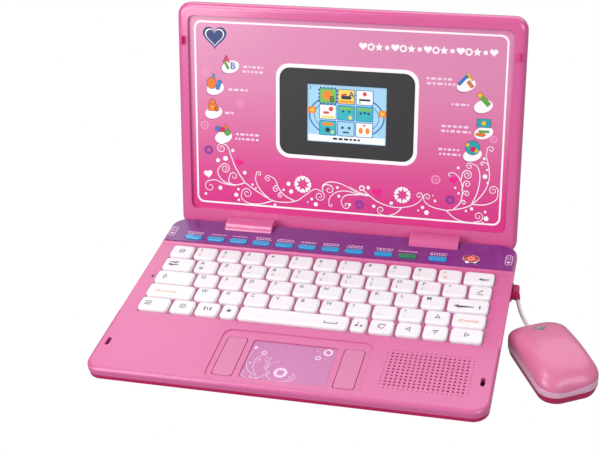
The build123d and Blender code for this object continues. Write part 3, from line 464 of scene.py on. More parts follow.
def addPiece(name, mesh, finish, body, slot, place=None, height=0.0, smooth=None):
    if place is not None:
        mesh.transform(place @ Matrix.Translation((0, 0, height)))
    mesh.name = name
    piece = bpy.data.objects.new(name, mesh)
    bpy.context.scene.collection.objects.link(piece)
    mesh.materials.clear()
    mesh.materials.append(finishes[finish])
    if smooth is not None:
        mesh.shade_smooth()
        bpy.context.view_layer.objects.active = piece
        piece.select_set(True)
        bpy.ops.object.shade_smooth_by_angle(angle=math.radians(smooth), keep_sharp_edges=False)
        piece.select_set(False)
    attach(piece, body)
    return piece


def printed(name, loops, finish, body, slot, place, height):
    return addPiece(name, grown(loops), finish, body, slot, place, height)


# Geometry Nodes: trees that are built here, fed by named inputs, and baked
def newTree(name, inputs):
    tree = bpy.data.node_groups.new(name, "GeometryNodeTree")
    tree.interface.new_socket("Geometry", in_out="INPUT", socket_type="NodeSocketGeometry")
    for label, kind in inputs:
        tree.interface.new_socket(label, in_out="INPUT", socket_type=kind)
    tree.interface.new_socket("Geometry", in_out="OUTPUT", socket_type="NodeSocketGeometry")
    return tree, tree.nodes.new("NodeGroupInput"), tree.nodes.new("NodeGroupOutput")


def bake(name, base, tree, values):
    piece = bpy.data.objects.new(name, base)
    bpy.context.scene.collection.objects.link(piece)
    modifier = piece.modifiers.new(name, "NODES")
    modifier.node_group = tree
    for item in tree.interface.items_tree:
        if item.in_out == "INPUT" and item.name in values:
            modifier[item.identifier] = values[item.name]
    depsgraph = bpy.context.evaluated_depsgraph_get()
    mesh = bpy.data.meshes.new_from_object(piece.evaluated_get(depsgraph))
    bpy.data.objects.remove(piece)
    return mesh


# A thin tapering ribbon along each line of a mesh
def makeRibbonTree():
    tree, start, end = newTree(
        "ribbon",
        [
            ("Width", "NodeSocketFloat"),
            ("Thickness", "NodeSocketFloat"),
            ("Tip", "NodeSocketFloat"),
            ("Finish", "NodeSocketMaterial"),
        ],
    )
    toCurve = tree.nodes.new("GeometryNodeMeshToCurve")
    upright = tree.nodes.new("GeometryNodeSetCurveNormal")
    upright.mode = "Z_UP"
    along = tree.nodes.new("GeometryNodeSplineParameter")
    taper = tree.nodes.new("ShaderNodeMapRange")
    taper.inputs["To Min"].default_value = 1.0
    radius = tree.nodes.new("GeometryNodeSetCurveRadius")
    profile = tree.nodes.new("GeometryNodeCurvePrimitiveQuadrilateral")
    sweep = tree.nodes.new("GeometryNodeCurveToMesh")
    sweep.inputs["Fill Caps"].default_value = True
    real = tree.nodes.new("GeometryNodeRealizeInstances")
    paint = tree.nodes.new("GeometryNodeSetMaterial")
    wire(
        tree,
        (start, "Geometry", toCurve, "Mesh"),
        (toCurve, "Curve", upright, "Curve"),
        (upright, "Curve", radius, "Curve"),
        (along, "Factor", taper, "Value"),
        (start, "Tip", taper, "To Max"),
        (taper, "Result", radius, "Radius"),
        (radius, "Curve", sweep, "Curve"),
        (start, "Width", profile, "Width"),
        (start, "Thickness", profile, "Height"),
        (profile, "Curve", sweep, "Profile Curve"),
    )
    wire(tree, (taper, "Result", sweep, "Scale"))
    wire(
        tree,
        (sweep, "Mesh", real, "Geometry"),
        (real, "Geometry", paint, "Geometry"),
        (start, "Finish", paint, "Material"),
        (paint, "Geometry", end, "Geometry"),
    )
    return tree


# Copies of one shape on points that carry their own size and turn
def makeCopiesTree():
    tree, start, end = newTree("copies", [("Shape", "NodeSocketObject"), ("Finish", "NodeSocketMaterial")])
    points = tree.nodes.new("GeometryNodeMeshToPoints")
    shape = tree.nodes.new("GeometryNodeObjectInfo")
    place = tree.nodes.new("GeometryNodeInstanceOnPoints")
    size = tree.nodes.new("GeometryNodeInputNamedAttribute")
    size.inputs["Name"].default_value = "size"
    turn = tree.nodes.new("GeometryNodeInputNamedAttribute")
    turn.inputs["Name"].default_value = "turn"
    spin = tree.nodes.new("ShaderNodeCombineXYZ")
    real = tree.nodes.new("GeometryNodeRealizeInstances")
    paint = tree.nodes.new("GeometryNodeSetMaterial")
    wire(
        tree,
        (start, "Geometry", points, "Mesh"),
        (points, "Points", place, "Points"),
        (start, "Shape", shape, "Object"),
        (shape, "Geometry", place, "Instance"),
        (size, "Attribute", place, "Scale"),
        (turn, "Attribute", spin, "Z"),
        (spin, "Vector", place, "Rotation"),
        (place, "Instances", real, "Geometry"),
        (real, "Geometry", paint, "Geometry"),
        (start, "Finish", paint, "Material"),
        (paint, "Geometry", end, "Geometry"),
    )
    return tree


ribbonTree = makeRibbonTree()
copiesTree = makeCopiesTree()


def copies(name, shapeMesh, places, finish):
    shape = bpy.data.objects.new(name + "Shape", shapeMesh)
    bpy.context.scene.collection.objects.link(shape)
    base = bpy.data.meshes.new(name)
    base.from_pydata([(x, y, 0) for x, y, size, turn in places], [], [])
    for label, column in (("size", 2), ("turn", 3)):
        attribute = base.attributes.new(label, "FLOAT", "POINT")
        for item, place in zip(attribute.data, places):
            item.value = place[column] if label == "size" else math.radians(place[column])
    mesh = bake(name, base, copiesTree, {"Shape": shape, "Finish": finishes[finish]})
    bpy.data.objects.remove(shape)
    return mesh


# A ring of petals, each a heart with its point to the middle
def blossom(petals, radius, petalSize, core=0.0):
    ring = [
        (radius * math.cos(a), radius * math.sin(a), petalSize, math.degrees(a) - 90)
        for a in (2 * math.pi * i / petals for i in range(petals))
    ]
    meshes = [copies("petals", grown([heart(0, 0, 1.0)]), ring, "inkWhite")]
    if core:
        meshes.append(grown([arc(0, 0, core)]))
    return joined(meshes)


def smoothLine(points, steps=9):
    points = [Vector((x, y, 0)) for x, y in points]
    ends = [points[0] * 2 - points[1]] + points + [points[-1] * 2 - points[-2]]
    line = []
    for a, b, c, d in zip(ends, ends[1:], ends[2:], ends[3:]):
        for i in range(steps):
            t = i / steps
            line.append(
                0.5 * (2 * b + (c - a) * t + (2 * a - 5 * b + 4 * c - d) * t * t + (3 * b - a - 3 * c + d) * t**3)
            )
    return line + [points[-1]]


# A tendril: a smooth stem through its points, then a curl of a given radius, to the left if side is 1
def tendril(points, radius=0.0, side=1, turns=1.4):
    line = smoothLine(points)
    if radius:
        way = (line[-1] - line[-2]).normalized()
        normal = Vector((-way.y, way.x, 0)) * side
        middle = line[-1] + normal * radius
        first = math.atan2(-normal.y, -normal.x)
        steps = int(26 * turns)
        for i in range(1, steps + 1):
            share = i / steps
            r = radius * (1 - 0.82 * share)
            a = first + side * turns * 2 * math.pi * share
            line.append(middle + Vector((math.cos(a), math.sin(a), 0)) * r)
    return line


def ribbons(name, stems, width, finish, body, slot, place, height, tip=0.6):
    base = bpy.data.meshes.new(name)
    verts, edges = [], []
    for stem in stems:
        line = tendril(*stem)
        edges += [(len(verts) + i, len(verts) + i + 1) for i in range(len(line) - 1)]
        verts += line
    base.from_pydata(verts, edges, [])
    values = {"Width": width, "Thickness": inkThickness, "Tip": tip, "Finish": finishes[finish]}
    mesh = bake(name, base, ribbonTree, values)
    return addPiece(name, mesh, finish, body, slot, place, height + inkThickness / 2)


def marks(name, shapeMesh, places, finish, body, slot, place, height):
    full = [tuple(p) + (0,) * (4 - len(p)) for p in places]
    return addPiece(name, copies(name, shapeMesh, full, finish), finish, body, slot, place, height)


# A caption that says nothing: rows of short dashes
rng = random.Random(7)


def dashes(cx, cy, width, height, rows=1, gap=1.1):
    loops = []
    for row in range(rows):
        y = cy + (rows - 1 - 2 * row) * (height + gap) / 2
        x = cx - width / 2 * rng.uniform(0.75, 1.0)
        stop = cx + width / 2 * rng.uniform(0.75, 1.0)
        while x < stop - height * 0.6:
            length = min(rng.uniform(0.9, 2.4) * height, stop - x)
            loops.append(bar(x + length / 2, y, length, height))
            x += length + 0.55 * height
    return loops


# The printed face inside the lid; places are across the lid and up from the hinge axis
face = {
    "height": layout["recess"] + 0.02,
    "low": 7.93,  # where the lid's own scale starts, above the hinge axis
    "stem": 0.95,
    "outline": (257.0, 153.1, 87.95, 1.5, 6.0),  # width, height, middle, line, corner
}
low = face["low"]
onLid = lid @ Matrix.Translation((0, low, 0))
onFace = ("lid", "print", onLid, face["height"])


def faceLift(lift):
    return "lid", "print", onLid, face["height"] + lift



def ringLoops(width, height, middle, line, radius):
    return [
        bar(0, middle, width, height, radius),
        bar(0, middle, width - 2 * line, height - 2 * line, radius - line * 0.7),
    ]


printed("lid_outline", ringLoops(*face["outline"]), "inkWhite", *onFace)
printed("screen_border", ringLoops(118, 77.8, 94.4, 3.05, 11), "inkWhite", *onFace)
faceStems = [  # points of the stem, then the radius, side and turns of its curl
    ([(-86, 31), (-91, 38), (-95, 45), (-98, 53), (-101, 61), (-104.5, 63)], 4.2, 1, 1.5),
    ([(-86, 31), (-75, 24), (-62, 17.4), (-51, 16.8), (-41, 19), (-33, 25), (-26, 30), (-20.5, 29)], 4.6, -1, 1.6),
    ([(-86, 31), (-95, 28.2), (-105, 29), (-112, 31.5), (-118, 30.5)], 5.0, 1, 1.1),
    ([(-94, 28.2), (-103, 30), (-108.5, 34.5), (-110, 40), (-107, 44.6)], 4.4, -1, 1.7),
    ([(-96.6, 28), (-100.4, 31), (-99.5, 36.5)], 3.6, -1, 1.1),
    ([(-61.5, 17.4), (-73, 13.6), (-83, 13.6), (-89.2, 17.5), (-89, 22.5)], 4.6, -1, 1.5),
    ([(-64.5, 18.2), (-72.5, 25.5), (-76.8, 34), (-76, 40)], 2.3, -1, 1.1),
    ([(-42.5, 18.4), (-51.5, 22.6), (-57, 29), (-60, 36), (-65, 38.6)], 2.9, 1, 1.3),
    ([(-58.4, 31), (-60.5, 29.8)], 2.6, 1, 1.2),
    ([(-54.5, 25.3), (-56.5, 24.2)], 2.1, 1, 1.2),
    ([(-19, 29), (-18.6, 34), (-13, 37.2), (-4, 36.6), (5, 32.6), (13, 29), (21, 28)], 0),
    ([(-18.9, 32.5), (-17.2, 34.6), (-13.4, 34.6)], 3.9, -1, 1.1),
    ([(21, 28), (12, 28.6), (1, 30.6), (-8, 28.6), (-13, 23.4), (-13.6, 18)], 1.9, 1, 0.8),
    ([(12, 28.2), (1, 27), (-3, 22), (-1.6, 17.4)], 3.2, 1, 1.2),
    ([(21, 28), (11.5, 30.6), (3.5, 34.6)], 0),
    ([(16, 32), (21, 28), (30, 22.6), (43, 20), (54, 21.8), (61, 25.4), (64.4, 29.6)], 3.1, 1, 1.2),
    ([(84.4, 20.8), (73, 22.8), (66.8, 26.6), (65.6, 30)], 3.1, -1, 1.2),
    (
        [(84.4, 20.8), (97, 23.6), (105, 27.6), (113, 36.4), (117.6, 47), (117.6, 58), (115, 68), (115.4, 74)],
        2.9, -1, 1.1,
    ),
    ([(47.5, 19.8), (43, 15.2), (35.6, 12.2), (29.6, 13.6)], 3.4, -1, 1.2),
    ([(90, 21.8), (95.8, 29), (97, 40), (94.4, 48), (89.6, 52.6), (86, 52)], 1.6, 1, 0.7),
    ([(95.2, 46), (96.4, 52.4)], 4.1, -1, 1.7),
    ([(96.6, 38.5), (97.6, 44.6)], 3.0, -1, 1.3),
    ([(96.4, 33), (97.8, 37)], 2.6, -1, 1.3),
    ([(94.6, 26.4), (96.4, 29.6)], 2.1, -1, 1.2),
    ([(104.8, 27.5), (109, 38), (110.6, 50), (108.4, 58.6), (103.2, 61.6)], 2.9, 1, 1.3),
    ([(117.8, 55.5), (116.5, 61.5), (112.6, 63.2)], 1.7, 1, 1.0),
    ([(105.6, 27.6), (116, 28.2), (124.4, 33), (125.6, 40)], 4.0, 1, 1.5),
    ([(84.4, 20.8), (92.4, 14.6), (103, 12.2), (111.6, 14)], 4.1, 1, 1.4),
]
ribbons("lid_scrolls", faceStems, face["stem"], "inkWhite", *onFace)
faceDots = [
    (-96.5, 58, 1.4), (-109.7, 48.7, 1.8), (-103, 50.8, 2.1), (-86.3, 39.7, 1.6), (-108, 25, 1.8), (-121, 19, 1.2),
    (-92, 25, 1.1), (-94, 20, 1.8), (-91.7, 15.7, 1.1), (-79.5, 30, 1.0), (-76.7, 27, 0.8), (-60, 13.8, 1.2),
    (-52.5, 27.5, 1.1), (-48.3, 33, 1.8), (-46, 26.5, 1.8), (-28.2, 21.5, 1.2), (-31.6, 18.7, 0.7), (-24.7, 17.3, 1.8),
    (-6.5, 33, 1.2), (-5.2, 25.8, 1.3), (19.5, 35, 1.5), (4, 19.3, 1.3), (24.4, 19.6, 1.4), (39, 23.4, 1.5),
    (75, 28.2, 1.1), (73, 32.6, 0.6), (65, 21.9, 1.4), (61.5, 19, 0.8), (68.4, 17.8, 2.0), (92.8, 57, 1.1),
    (91, 40.4, 0.9), (94, 36, 1.0), (113.3, 66, 1.2), (116, 57, 0.8), (114.6, 51.5, 1.9), (116.6, 46.6, 0.8),
    (105, 24, 1.4), (100.5, 21.9, 1.0), (116, 22.2, 1.1), (117, 16.7, 2.0), (114.3, 12.9, 1.0),
]  # across, up, radius
marks("lid_dots", grown([arc(0, 0, 1.0, steps=14)]), faceDots, "inkWhite", *onFace)
printed("lid_ring", [arc(14.2, 34.1, 2.4), arc(14.2, 34.1, 1.4)], "inkWhite", *onFace)
heartFlowers = [(-36, 33.5, 1.06), (48, 31, 1.0, 20)]
marks("lid_heart_flowers", blossom(8, 4.9, 4.4), heartFlowers, "inkWhite", *onFace)
purpleFlowers = [(-117.7, 57, 1.0), (12.2, 20, 1.0), (87.3, 30, 1.0)]
starredDisc = grown([arc(0, 0, 3.9, steps=24), star(0, 0, 6.2, 5, 0.32)])
marks("lid_purple_flowers", starredDisc, purpleFlowers, "inkPurple", *onFace)
paleRings = [(-119.3, 122.5, 0.85), (-89.6, 98, 0.85), (-120.8, 78, 1.0), (120, 82, 0.85), (75, 46, 1.05)]
marks("lid_pale_flowers", blossom(8, 2.7, 2.2, 0.9), paleRings, "inkPale", *onFace)
pinkHearts = [heart(-91.2, 47.4, 7.2, -12), heart(27.3, 31, 8.4, 10), heart(89.8, 46, 7.0, 14)]
printed("lid_pink_hearts", pinkHearts, "inkHot", *onFace)
printed("lid_white_heart", [heart(-118.4, 36, 7.6, 8)], "inkWhite", *onFace)
printed("lid_navy_heart", [heart(-110.8, 150.6, 20.5)], "inkNavy", *onFace)
heartLine = [heart(-110.8, 150.9, size) for size in (16.4, 14.6)]
printed("lid_navy_heart_line", heartLine, "inkWhite", *faceLift(0.05))

# In place of a name: a row of simple figures
figures = []
for i in range(17):
    x, y = 13 + i * 6.5, 150
    kinds = ([heart(x, y, 6.6)], [arc(x, y, 2.9), arc(x, y, 1.6)], [star(x, y, 7.0)], [arc(x, y, 1.7)])
    figures += kinds[i % 4]
printed("lid_figures", figures, "inkWhite", *onFace)

# Eight pictures on white ovals, each with a blank caption
ovals = [
    (-97.6, 130.4, -78.0, 126.6, 2), (-111.0, 111.8, -91.4, 109.2, 1), (-112.7, 91.7, -97.5, 89.5, 1),
    (-104.5, 71.4, -83.4, 70.2, 2), (96.3, 126.5, 75.9, 125.8, 2), (110.6, 110.4, 92.0, 108.2, 1),
    (111.8, 89.4, 90.5, 88.4, 2), (103.7, 70.8, 84.8, 69.5, 2),
]  # oval across and up, caption across and up, rows
captionWidths = (21, 21, 11, 26, 25, 17, 26, 21)
ovalLoops = [turned(arc(x, y - 2.6, 7.7, 5.0, steps=28), 19, x, y - 2.6) for x, y, *_ in ovals]
shades = [[(x - 0.5, y - 0.7) for x, y in loop] for loop in ovalLoops]
printed("lid_oval_shades", shades, "inkShade", *faceLift(-0.01))
printed("lid_ovals", ovalLoops, "inkWhite", *faceLift(0.01))
captionLoops = []
for (x, y, cx, cy, rows), width in zip(ovals, captionWidths):
    captionLoops += dashes(cx, cy, width, 1.9, rows, gap=2.0)
printed("lid_captions", captionLoops, "inkSoft", *onFace)


pictures = {
    "inkRed": [
        bar(-105.5, 75.0, 3.4, 3.4, 0.4),
        arc(104, 73.0, 2.2),
    ],
    "inkGreen": [
        turned(bar(-101.2, 129.6, 2.2, 7.2, 0.6), 28, -101.2, 129.6),
        arc(-101.0, 73.0, 2.4),
        turned(bar(111.5, 112.6, 3.6, 9.6, 0.5), 45, 111.5, 112.6),
        bar(112.0, 87.8, 7.6, 1.8),
    ],
    "inkBlue": [
        turned(bar(-108.0, 112.4, 3.2, 7.6, 0.5), -18, -108.0, 112.4),
        arc(-109.4, 75.6, 2.0),
        turned(bar(93.6, 127.6, 2.4, 9.4, 0.6), -42, 93.6, 127.6),
    ],
    "inkOrange": [
        arc(-114.0, 113.6, 4.0, 4.4),
        bar(-113.6, 93.4, 7.2, 5.6, 0.7),
        arc(-113.6, 98.0, 2.4),
        arc(-110.0, 92.4, 1.9),
        [(-104.2, 76.6), (-100.6, 76.6), (-102.4, 81.0)],
        turned(bar(99.6, 124.8, 2.6, 5.4, 0.8), 40, 99.6, 124.8),
        arc(109.4, 85.2, 3.6, 1.4),
    ],
    "inkTeal": [
        bar(111.6, 94.6, 10.6, 6.8, 0.9),
        arc(103.6, 74.2, 5.6),
        arc(-112.4, 119.6, 1.0, 1.8, steps=10),
    ],
    "inkYellow": [
        star(-113.6, 93.4, 3.6),
        turned(bar(107.6, 116.6, 3.4, 3.4, 0.3), 45, 107.6, 116.6),
        turned(bar(98.8, 130.8, 1.6, 7.0, 0.6), 40, 98.8, 130.8),
        arc(111.6, 94.6, 1.8),
        star(107.0, 71.8, 4.4),
        arc(99.6, 76.4, 1.5),
    ],
}
outlineWidth = 0.42


def widened(loop, by):
    cx, cy = sum(x for x, _ in loop) / len(loop), sum(y for _, y in loop) / len(loop)
    reach = sum(math.hypot(x - cx, y - cy) for x, y in loop) / len(loop)
    return [(cx + (x - cx) * (1 + by / reach), cy + (y - cy) * (1 + by / reach)) for x, y in loop]


for i, loop in enumerate([loop for loops in pictures.values() for loop in loops]):
    outline = [widened(loop, outlineWidth)]
    printed("lid_picture_edge_" + str(i + 1), outline, "inkEdge", *faceLift(0.03 + 0.0004 * i))
pictureLetters = (("A", -101.0, 131.2, 8.6, "inkRed", 0.2), ("B", -95.4, 126.4, 7.8, "inkBlue", 0.24))
for letter, x, y, size, finish, lift in pictureLetters:
    behind = lettering(letter, x - 0.25, y - 0.25, size * 1.06, centred=True)
    addPiece("lid_letter_edge_" + letter.lower(), behind, "inkEdge", *faceLift(lift - 0.03))
    mesh = lettering(letter, x, y, size, centred=True)
    addPiece("lid_letter_" + letter.lower(), mesh, finish, *faceLift(lift))
heights = {"inkTeal": 0.05, "inkOrange": 0.06, "inkGreen": 0.1, "inkBlue": 0.14, "inkRed": 0.18, "inkYellow": 0.22}
for finish, loops in pictures.items():
    for i, loop in enumerate(loops):
        name = "lid_picture_" + finish[3:].lower() + "_" + str(i + 1)
        printed(name, [loop], finish, *faceLift(heights[finish]))
print("lid face printed")

# The screen: a dark mask behind the pane, and a menu picture under it
screen = {
    "width": 66.0,
    "height": 47.3,
    "middle": 94.0,
    "maskWidth": 111.6,
    "maskHeight": 71.6,
    "maskThickness": 0.5,
    "maskDown": -9.25,
}
maskLoops = [
    bar(0, screen["middle"] + 0.47, screen["maskWidth"], screen["maskHeight"], 7.8),
    bar(0, screen["middle"], screen["width"], screen["height"], 0.6),
]
addPiece("screen_mask", grown(maskLoops, screen["maskThickness"]), "maskDark", "lid", "dark", onLid, screen["maskDown"])
onScreen = onLid @ Matrix.Translation((0, 0, layout["recess"] - 1.6))
menu = {"ink": 0.02, "first": (-15.6, 108.6), "step": (15.2, 13.2), "tile": (13.2, 11.2), "frame": 1.2}


def onMenu(name, mesh, finish, lift):
    addPiece("menu_" + name, mesh, finish, "lid", "lcd", onScreen, lift)


backdrop = {
    "screenSky": [bar(0, screen["middle"], screen["width"] - 0.2, screen["height"] - 0.2, 0.4)],
    "screenDeep": [arc(0, 92.4, rx, ry, steps=48) for rx, ry in ((31.6, 19), (30.4, 17.8), (27.2, 15.2), (26.6, 14.6))],
    "screenWhite": [bar(0, 73.6, 64.6, 5.4, 0.6)],
}
for i, (finish, loops) in enumerate(backdrop.items()):
    onMenu(finish[6:].lower(), grown(loops, menu["ink"]), finish, 0.03 + 0.03 * i)
tileColours = "Green Yellow White White Teal Teal Teal Sky White"
tiles = [
    (menu["first"][0] + i % 3 * menu["step"][0], menu["first"][1] - i // 3 * menu["step"][1], "screen" + colour)
    for i, colour in enumerate(tileColours.split())
]
tileWidth, tileHeight = menu["tile"]
frames = [bar(x, y, tileWidth + menu["frame"], tileHeight + menu["frame"], 0.8) for x, y, _ in tiles]
onMenu("frames", grown(frames, menu["ink"]), "screenDeep", 0.14)
chosenX, chosenY, _ = tiles[0]  # the tile that is picked has a dashed edge
stitches = [bar(chosenX + dx, chosenY + dy, 1.5, 0.8, 0.1) for dx in (-6, -3, 0, 3, 6) for dy in (-6.6, 6.6)]
stitches += [bar(chosenX + dx, chosenY + dy, 0.8, 1.4, 0.1) for dy in (-4.5, -1.5, 1.5, 4.5) for dx in (-7.6, 7.6)]
onMenu("stitches", grown(stitches, menu["ink"]), "screenInk", 0.3)
onMenu("number", lettering("1", -31.4, 113.2, 4.4, menu["ink"]), "screenInk", 0.3)
for i, (x, y, finish) in enumerate(tiles):
    onMenu("tile_" + str(i + 1), grown([bar(x, y, tileWidth, tileHeight, 0.5)], menu["ink"]), finish, 0.18)


# What a tile shows, drawn about the tile's middle
def onTile(index, *loops):
    cx, cy = tiles[index][:2]
    return [[(x + cx, y + cy) for x, y in loop] for loop in loops]


figuresOnTiles = {
    "screenOrange": onTile(0, arc(-0.6, 0.4, 3.9))
    + onTile(6, bar(0, 3.2, 9.0, 2.6, 0.6))
    + onTile(8, arc(-2.8, -0.6, 1.7, 2.6), arc(2.8, -0.6, 1.7, 2.6))
    + onTile(1, bar(0, -4.0, 12.0, 1.6, 0.3))
    + [bar(-28.9, 96.4, 6.6, 5.4, 0.9), bar(29.9, 96.4, 6.6, 5.4, 0.9)],
    "screenRed": onTile(1, turned(bar(-1.8, 1.6, 4.6, 1.6, 0.4), 12, -1.8, 1.6))
    + onTile(2, arc(0, 3.0, 1.7))
    + onTile(3, arc(2.6, 2.6, 1.9), bar(-1.4, -0.6, 5.0, 2.0, 0.5))
    + onTile(8, heart(0, 3.6, 2.2)),
    "screenInk": onTile(1, bar(0, -0.6, 8.4, 2.8, 1.2))
    + onTile(2, bar(0, -1.8, 9.4, 1.6, 0.6))
    + onTile(4, arc(-2.6, 1.2, 0.9), arc(2.6, 1.2, 0.9))
    + onTile(5, arc(-3.0, 0.4, 1.0), arc(0.4, 1.0, 1.0), arc(3.4, 0.4, 1.0))
    + onTile(6, arc(0, -1.6, 2.0))
    + onTile(7, arc(-2.8, 1.0, 1.1), arc(2.8, 1.0, 1.1), bar(0, -2.8, 5.4, 1.2))
    + dashes(0, 73.6, 26, 1.7),
    "screenGreen": onTile(4, bar(0, 3.6, 11.6, 2.2, 0.6))
    + onTile(5, bar(0, 3.6, 11.6, 2.2, 0.6))
    + onTile(2, arc(-4.0, -4.0, 0.9)),
    "screenYellow": onTile(4, arc(3.6, -3.6, 1.6))
    + onTile(3, bar(0, -4.0, 11.0, 1.8, 0.4))
    + onTile(6, arc(4.0, -3.2, 1.3))
    + [[(-30.6, 96.4), (-27.6, 98.2), (-27.6, 94.6)], [(31.6, 96.4), (28.6, 98.2), (28.6, 94.6)]],
}
for i, (finish, loops) in enumerate(figuresOnTiles.items()):
    onMenu("marks_" + finish[6:].lower(), grown(loops, menu["ink"]), finish, 0.22 + 0.03 * i)
for letter, (tileX, tileY, _), dx, dy, size in (("B", tiles[0], 3.4, -5.0, 7.4), ("A", tiles[1], 4.2, -0.2, 6.6)):
    mesh = lettering(letter, tileX + dx, tileY + dy, size, menu["ink"], True)
    onMenu("letter_" + letter.lower(), mesh, "screenInk", 0.42)
print("screen done")

# The outside of the lid: places are across, and up from the free edge
outside = {"height": 0.0, "stem": 1.0}
onCover = ("lid", "print", lidBack, outside["height"])
backStems = [
    ([(-56, 9), (-74, 16.5), (-87, 27.5), (-97, 43), (-101, 58), (-105, 70), (-110, 72)], 4.0, 1, 1.4),
    ([(-56, 9), (-39, 9.8), (-24, 16), (-15, 22.5)], 4.4, -1, 1.5),
    ([(-61, 12), (-71.5, 24.5), (-77.4, 37), (-76.8, 43.4)], 2.9, -1, 1.3),
    ([(-85, 24.5), (-100, 25.4), (-112, 30.6), (-120, 32)], 7.0, 1, 1.1),
    ([(-100, 25.4), (-110, 31), (-113.6, 38), (-110, 45)], 5.8, -1, 1.6),
    ([(-101, 26), (-104, 30)], 4.4, -1, 1.2),
    ([(-54, 9), (-71, 5), (-85, 7), (-90, 12)], 4.8, -1, 1.3),
    ([(-41, 11), (-51.5, 22.5), (-56, 35), (-53, 46)], 0),
    ([(-56, 33), (-58.6, 38.4), (-62, 43.4)], 4.6, 1, 1.3),
    ([(-54.6, 27), (-58, 30.6)], 2.6, 1, 1.1),
    ([(-51, 21.6), (-54.4, 22.6)], 2.6, 1, 1.1),
    ([(-14, 22.6), (2, 23.8), (17, 17.6), (28, 16.2)], 0),
    ([(-9, 23.2), (-5.4, 22.2)], 4.0, -1, 1.3),
    ([(28, 16.2), (19, 16.2), (9, 14), (0, 11.6), (-3, 6)], 0),
    ([(16, 15.6), (9, 13.6), (4.4, 10)], 3.6, 1, 1.3),
    ([(28, 16.2), (43, 8.4), (58, 9.4), (66.4, 15.4)], 2.8, 1, 1.2),
    ([(28, 16.2), (15, 29), (13.4, 45), (17, 58), (16.6, 63)], 2.6, 1, 0.9),
    ([(18, 26.5), (3.6, 36.4), (-9, 51), (-20, 62), (-28.4, 66)], 3.0, 1, 0.9),
    ([(8.6, 31.6), (4.4, 50), (0.6, 58), (-4, 61)], 4.0, 1, 1.3),
    ([(1.6, 38.6), (-5.6, 40.4)], 4.2, -1, 1.3),
    ([(6, 47), (10, 50.4)], 2.6, 1, 1.1),
    ([(-11.4, 53.4), (-21, 52)], 3.8, 1, 0.9),
    ([(90, 8.4), (80, 10.4), (73.4, 15.4)], 2.8, -1, 1.2),
    ([(90, 8.4), (113, 14), (123.6, 28.6), (127.4, 46), (125.8, 60)], 3.0, -1, 1.0),
    ([(103, 10.8), (105.4, 27), (101.4, 37), (95, 41.6)], 0),
    ([(104, 33), (105, 38.4)], 3.6, -1, 1.3),
    ([(105.2, 25), (105.6, 30.6)], 2.6, -1, 1.2),
    ([(105, 18.6), (105.4, 21.4)], 1.9, -1, 1.1),
    ([(113, 14), (120, 29), (120, 41), (114.6, 47.8)], 2.6, 1, 0.9),
    ([(114, 14), (124, 13.8), (129, 18.6)], 3.2, 1, 1.1),
]
ribbons("cover_scrolls", backStems, outside["stem"], "inkSoft", *onCover)
coverHearts = [
    heart(-98, 70, 7.4, -8), heart(-52, 51.6, 8.6), heart(-125, 36, 7.6), heart(-4, 65.4, 6.4), heart(35, 19, 7.2, 12),
    heart(56, 13, 6.2), heart(120, 64, 7.0, -14),
]
printed("cover_hearts", coverHearts, "inkRed", *onCover)
coverFlowers = [(-118, 58, 0.56), (-71, 55, 0.66), (-27, 32, 1.0, 12), (26, 42, 0.78), (93, 18, 0.52), (107, 55, 0.46)]
marks("cover_flowers", blossom(9, 7.2, 5.8), coverFlowers, "inkRed", *onCover)
coverDots = [
    (-112, 50, 1.4), (-105, 51, 2.2), (-95, 53, 1.3), (-84, 34, 1.8), (-116, 15, 1.8), (-113, 21, 2.4), (-93, 12, 2.0),
    (-90, 17, 1.4), (-43, 30, 1.8), (-39, 22, 1.4), (-45, 20, 1.0), (-20, 13, 1.3), (-16, 10, 1.8), (3, 20, 1.3),
    (-7, 34, 1.3), (21, 30, 1.2), (27, 30, 1.8), (28, 21, 1.2), (48, 21, 1.0), (35, 9, 1.2), (46, 10, 1.1),
    (70, 10, 1.0), (101, 45, 1.2), (125, 39, 1.8), (130, 57, 1.2), (101, 23, 1.1), (108, 9, 1.1), (-55, 6, 1.0),
]
marks("cover_dots", grown([arc(0, 0, 1.0, steps=14)]), coverDots, "inkSoft", *onCover)
print("lid cover printed")

# Function strip: captions over the buttons, and an outlined mark at each end
strip = {"y": 6.0, "first": -119.8, "pitch": 19.4}
captionRows = (2, 1, 1, 2, 2, 1, 2, 2)
captions = []
for i, rows in enumerate(captionRows):
    captions += dashes(strip["first"] + strip["pitch"] * i, 12.4, 15.4, 1.0, rows, gap=1.1)
for x, rows, width in ((40.1, 2, 16), (59.6, 1, 18), (83.9, 2, 16)):
    captions += dashes(x, 12.4, width, 1.0, rows, gap=1.1)
printed("strip_captions", captions, "inkSoft", "base", "purple", deck, 0.02)
endMarks = []
for x in (-140, 139.4):
    endMarks += [bar(x, 12.5, 5.6, 13.0, 2.2), bar(x, 12.5, 4.6, 12.0, 1.8)]
    endMarks += [bar(x, 15.0, 2.8, 4.2, 1.2), bar(x, 15.0, 2.0, 3.4, 0.9), heart(x, 9.4, 3.0)]
printed("strip_marks", endMarks, "inkSoft", "base", "purple", deck, 0.02)
print("strip printed")

# Key caps: a soft-edged slab with a slightly dished top
cap = {"top": 0.9, "foot": -4.3, "depth": 14.5, "corner": 2.9, "edge": 1.15, "dish": 0.12}


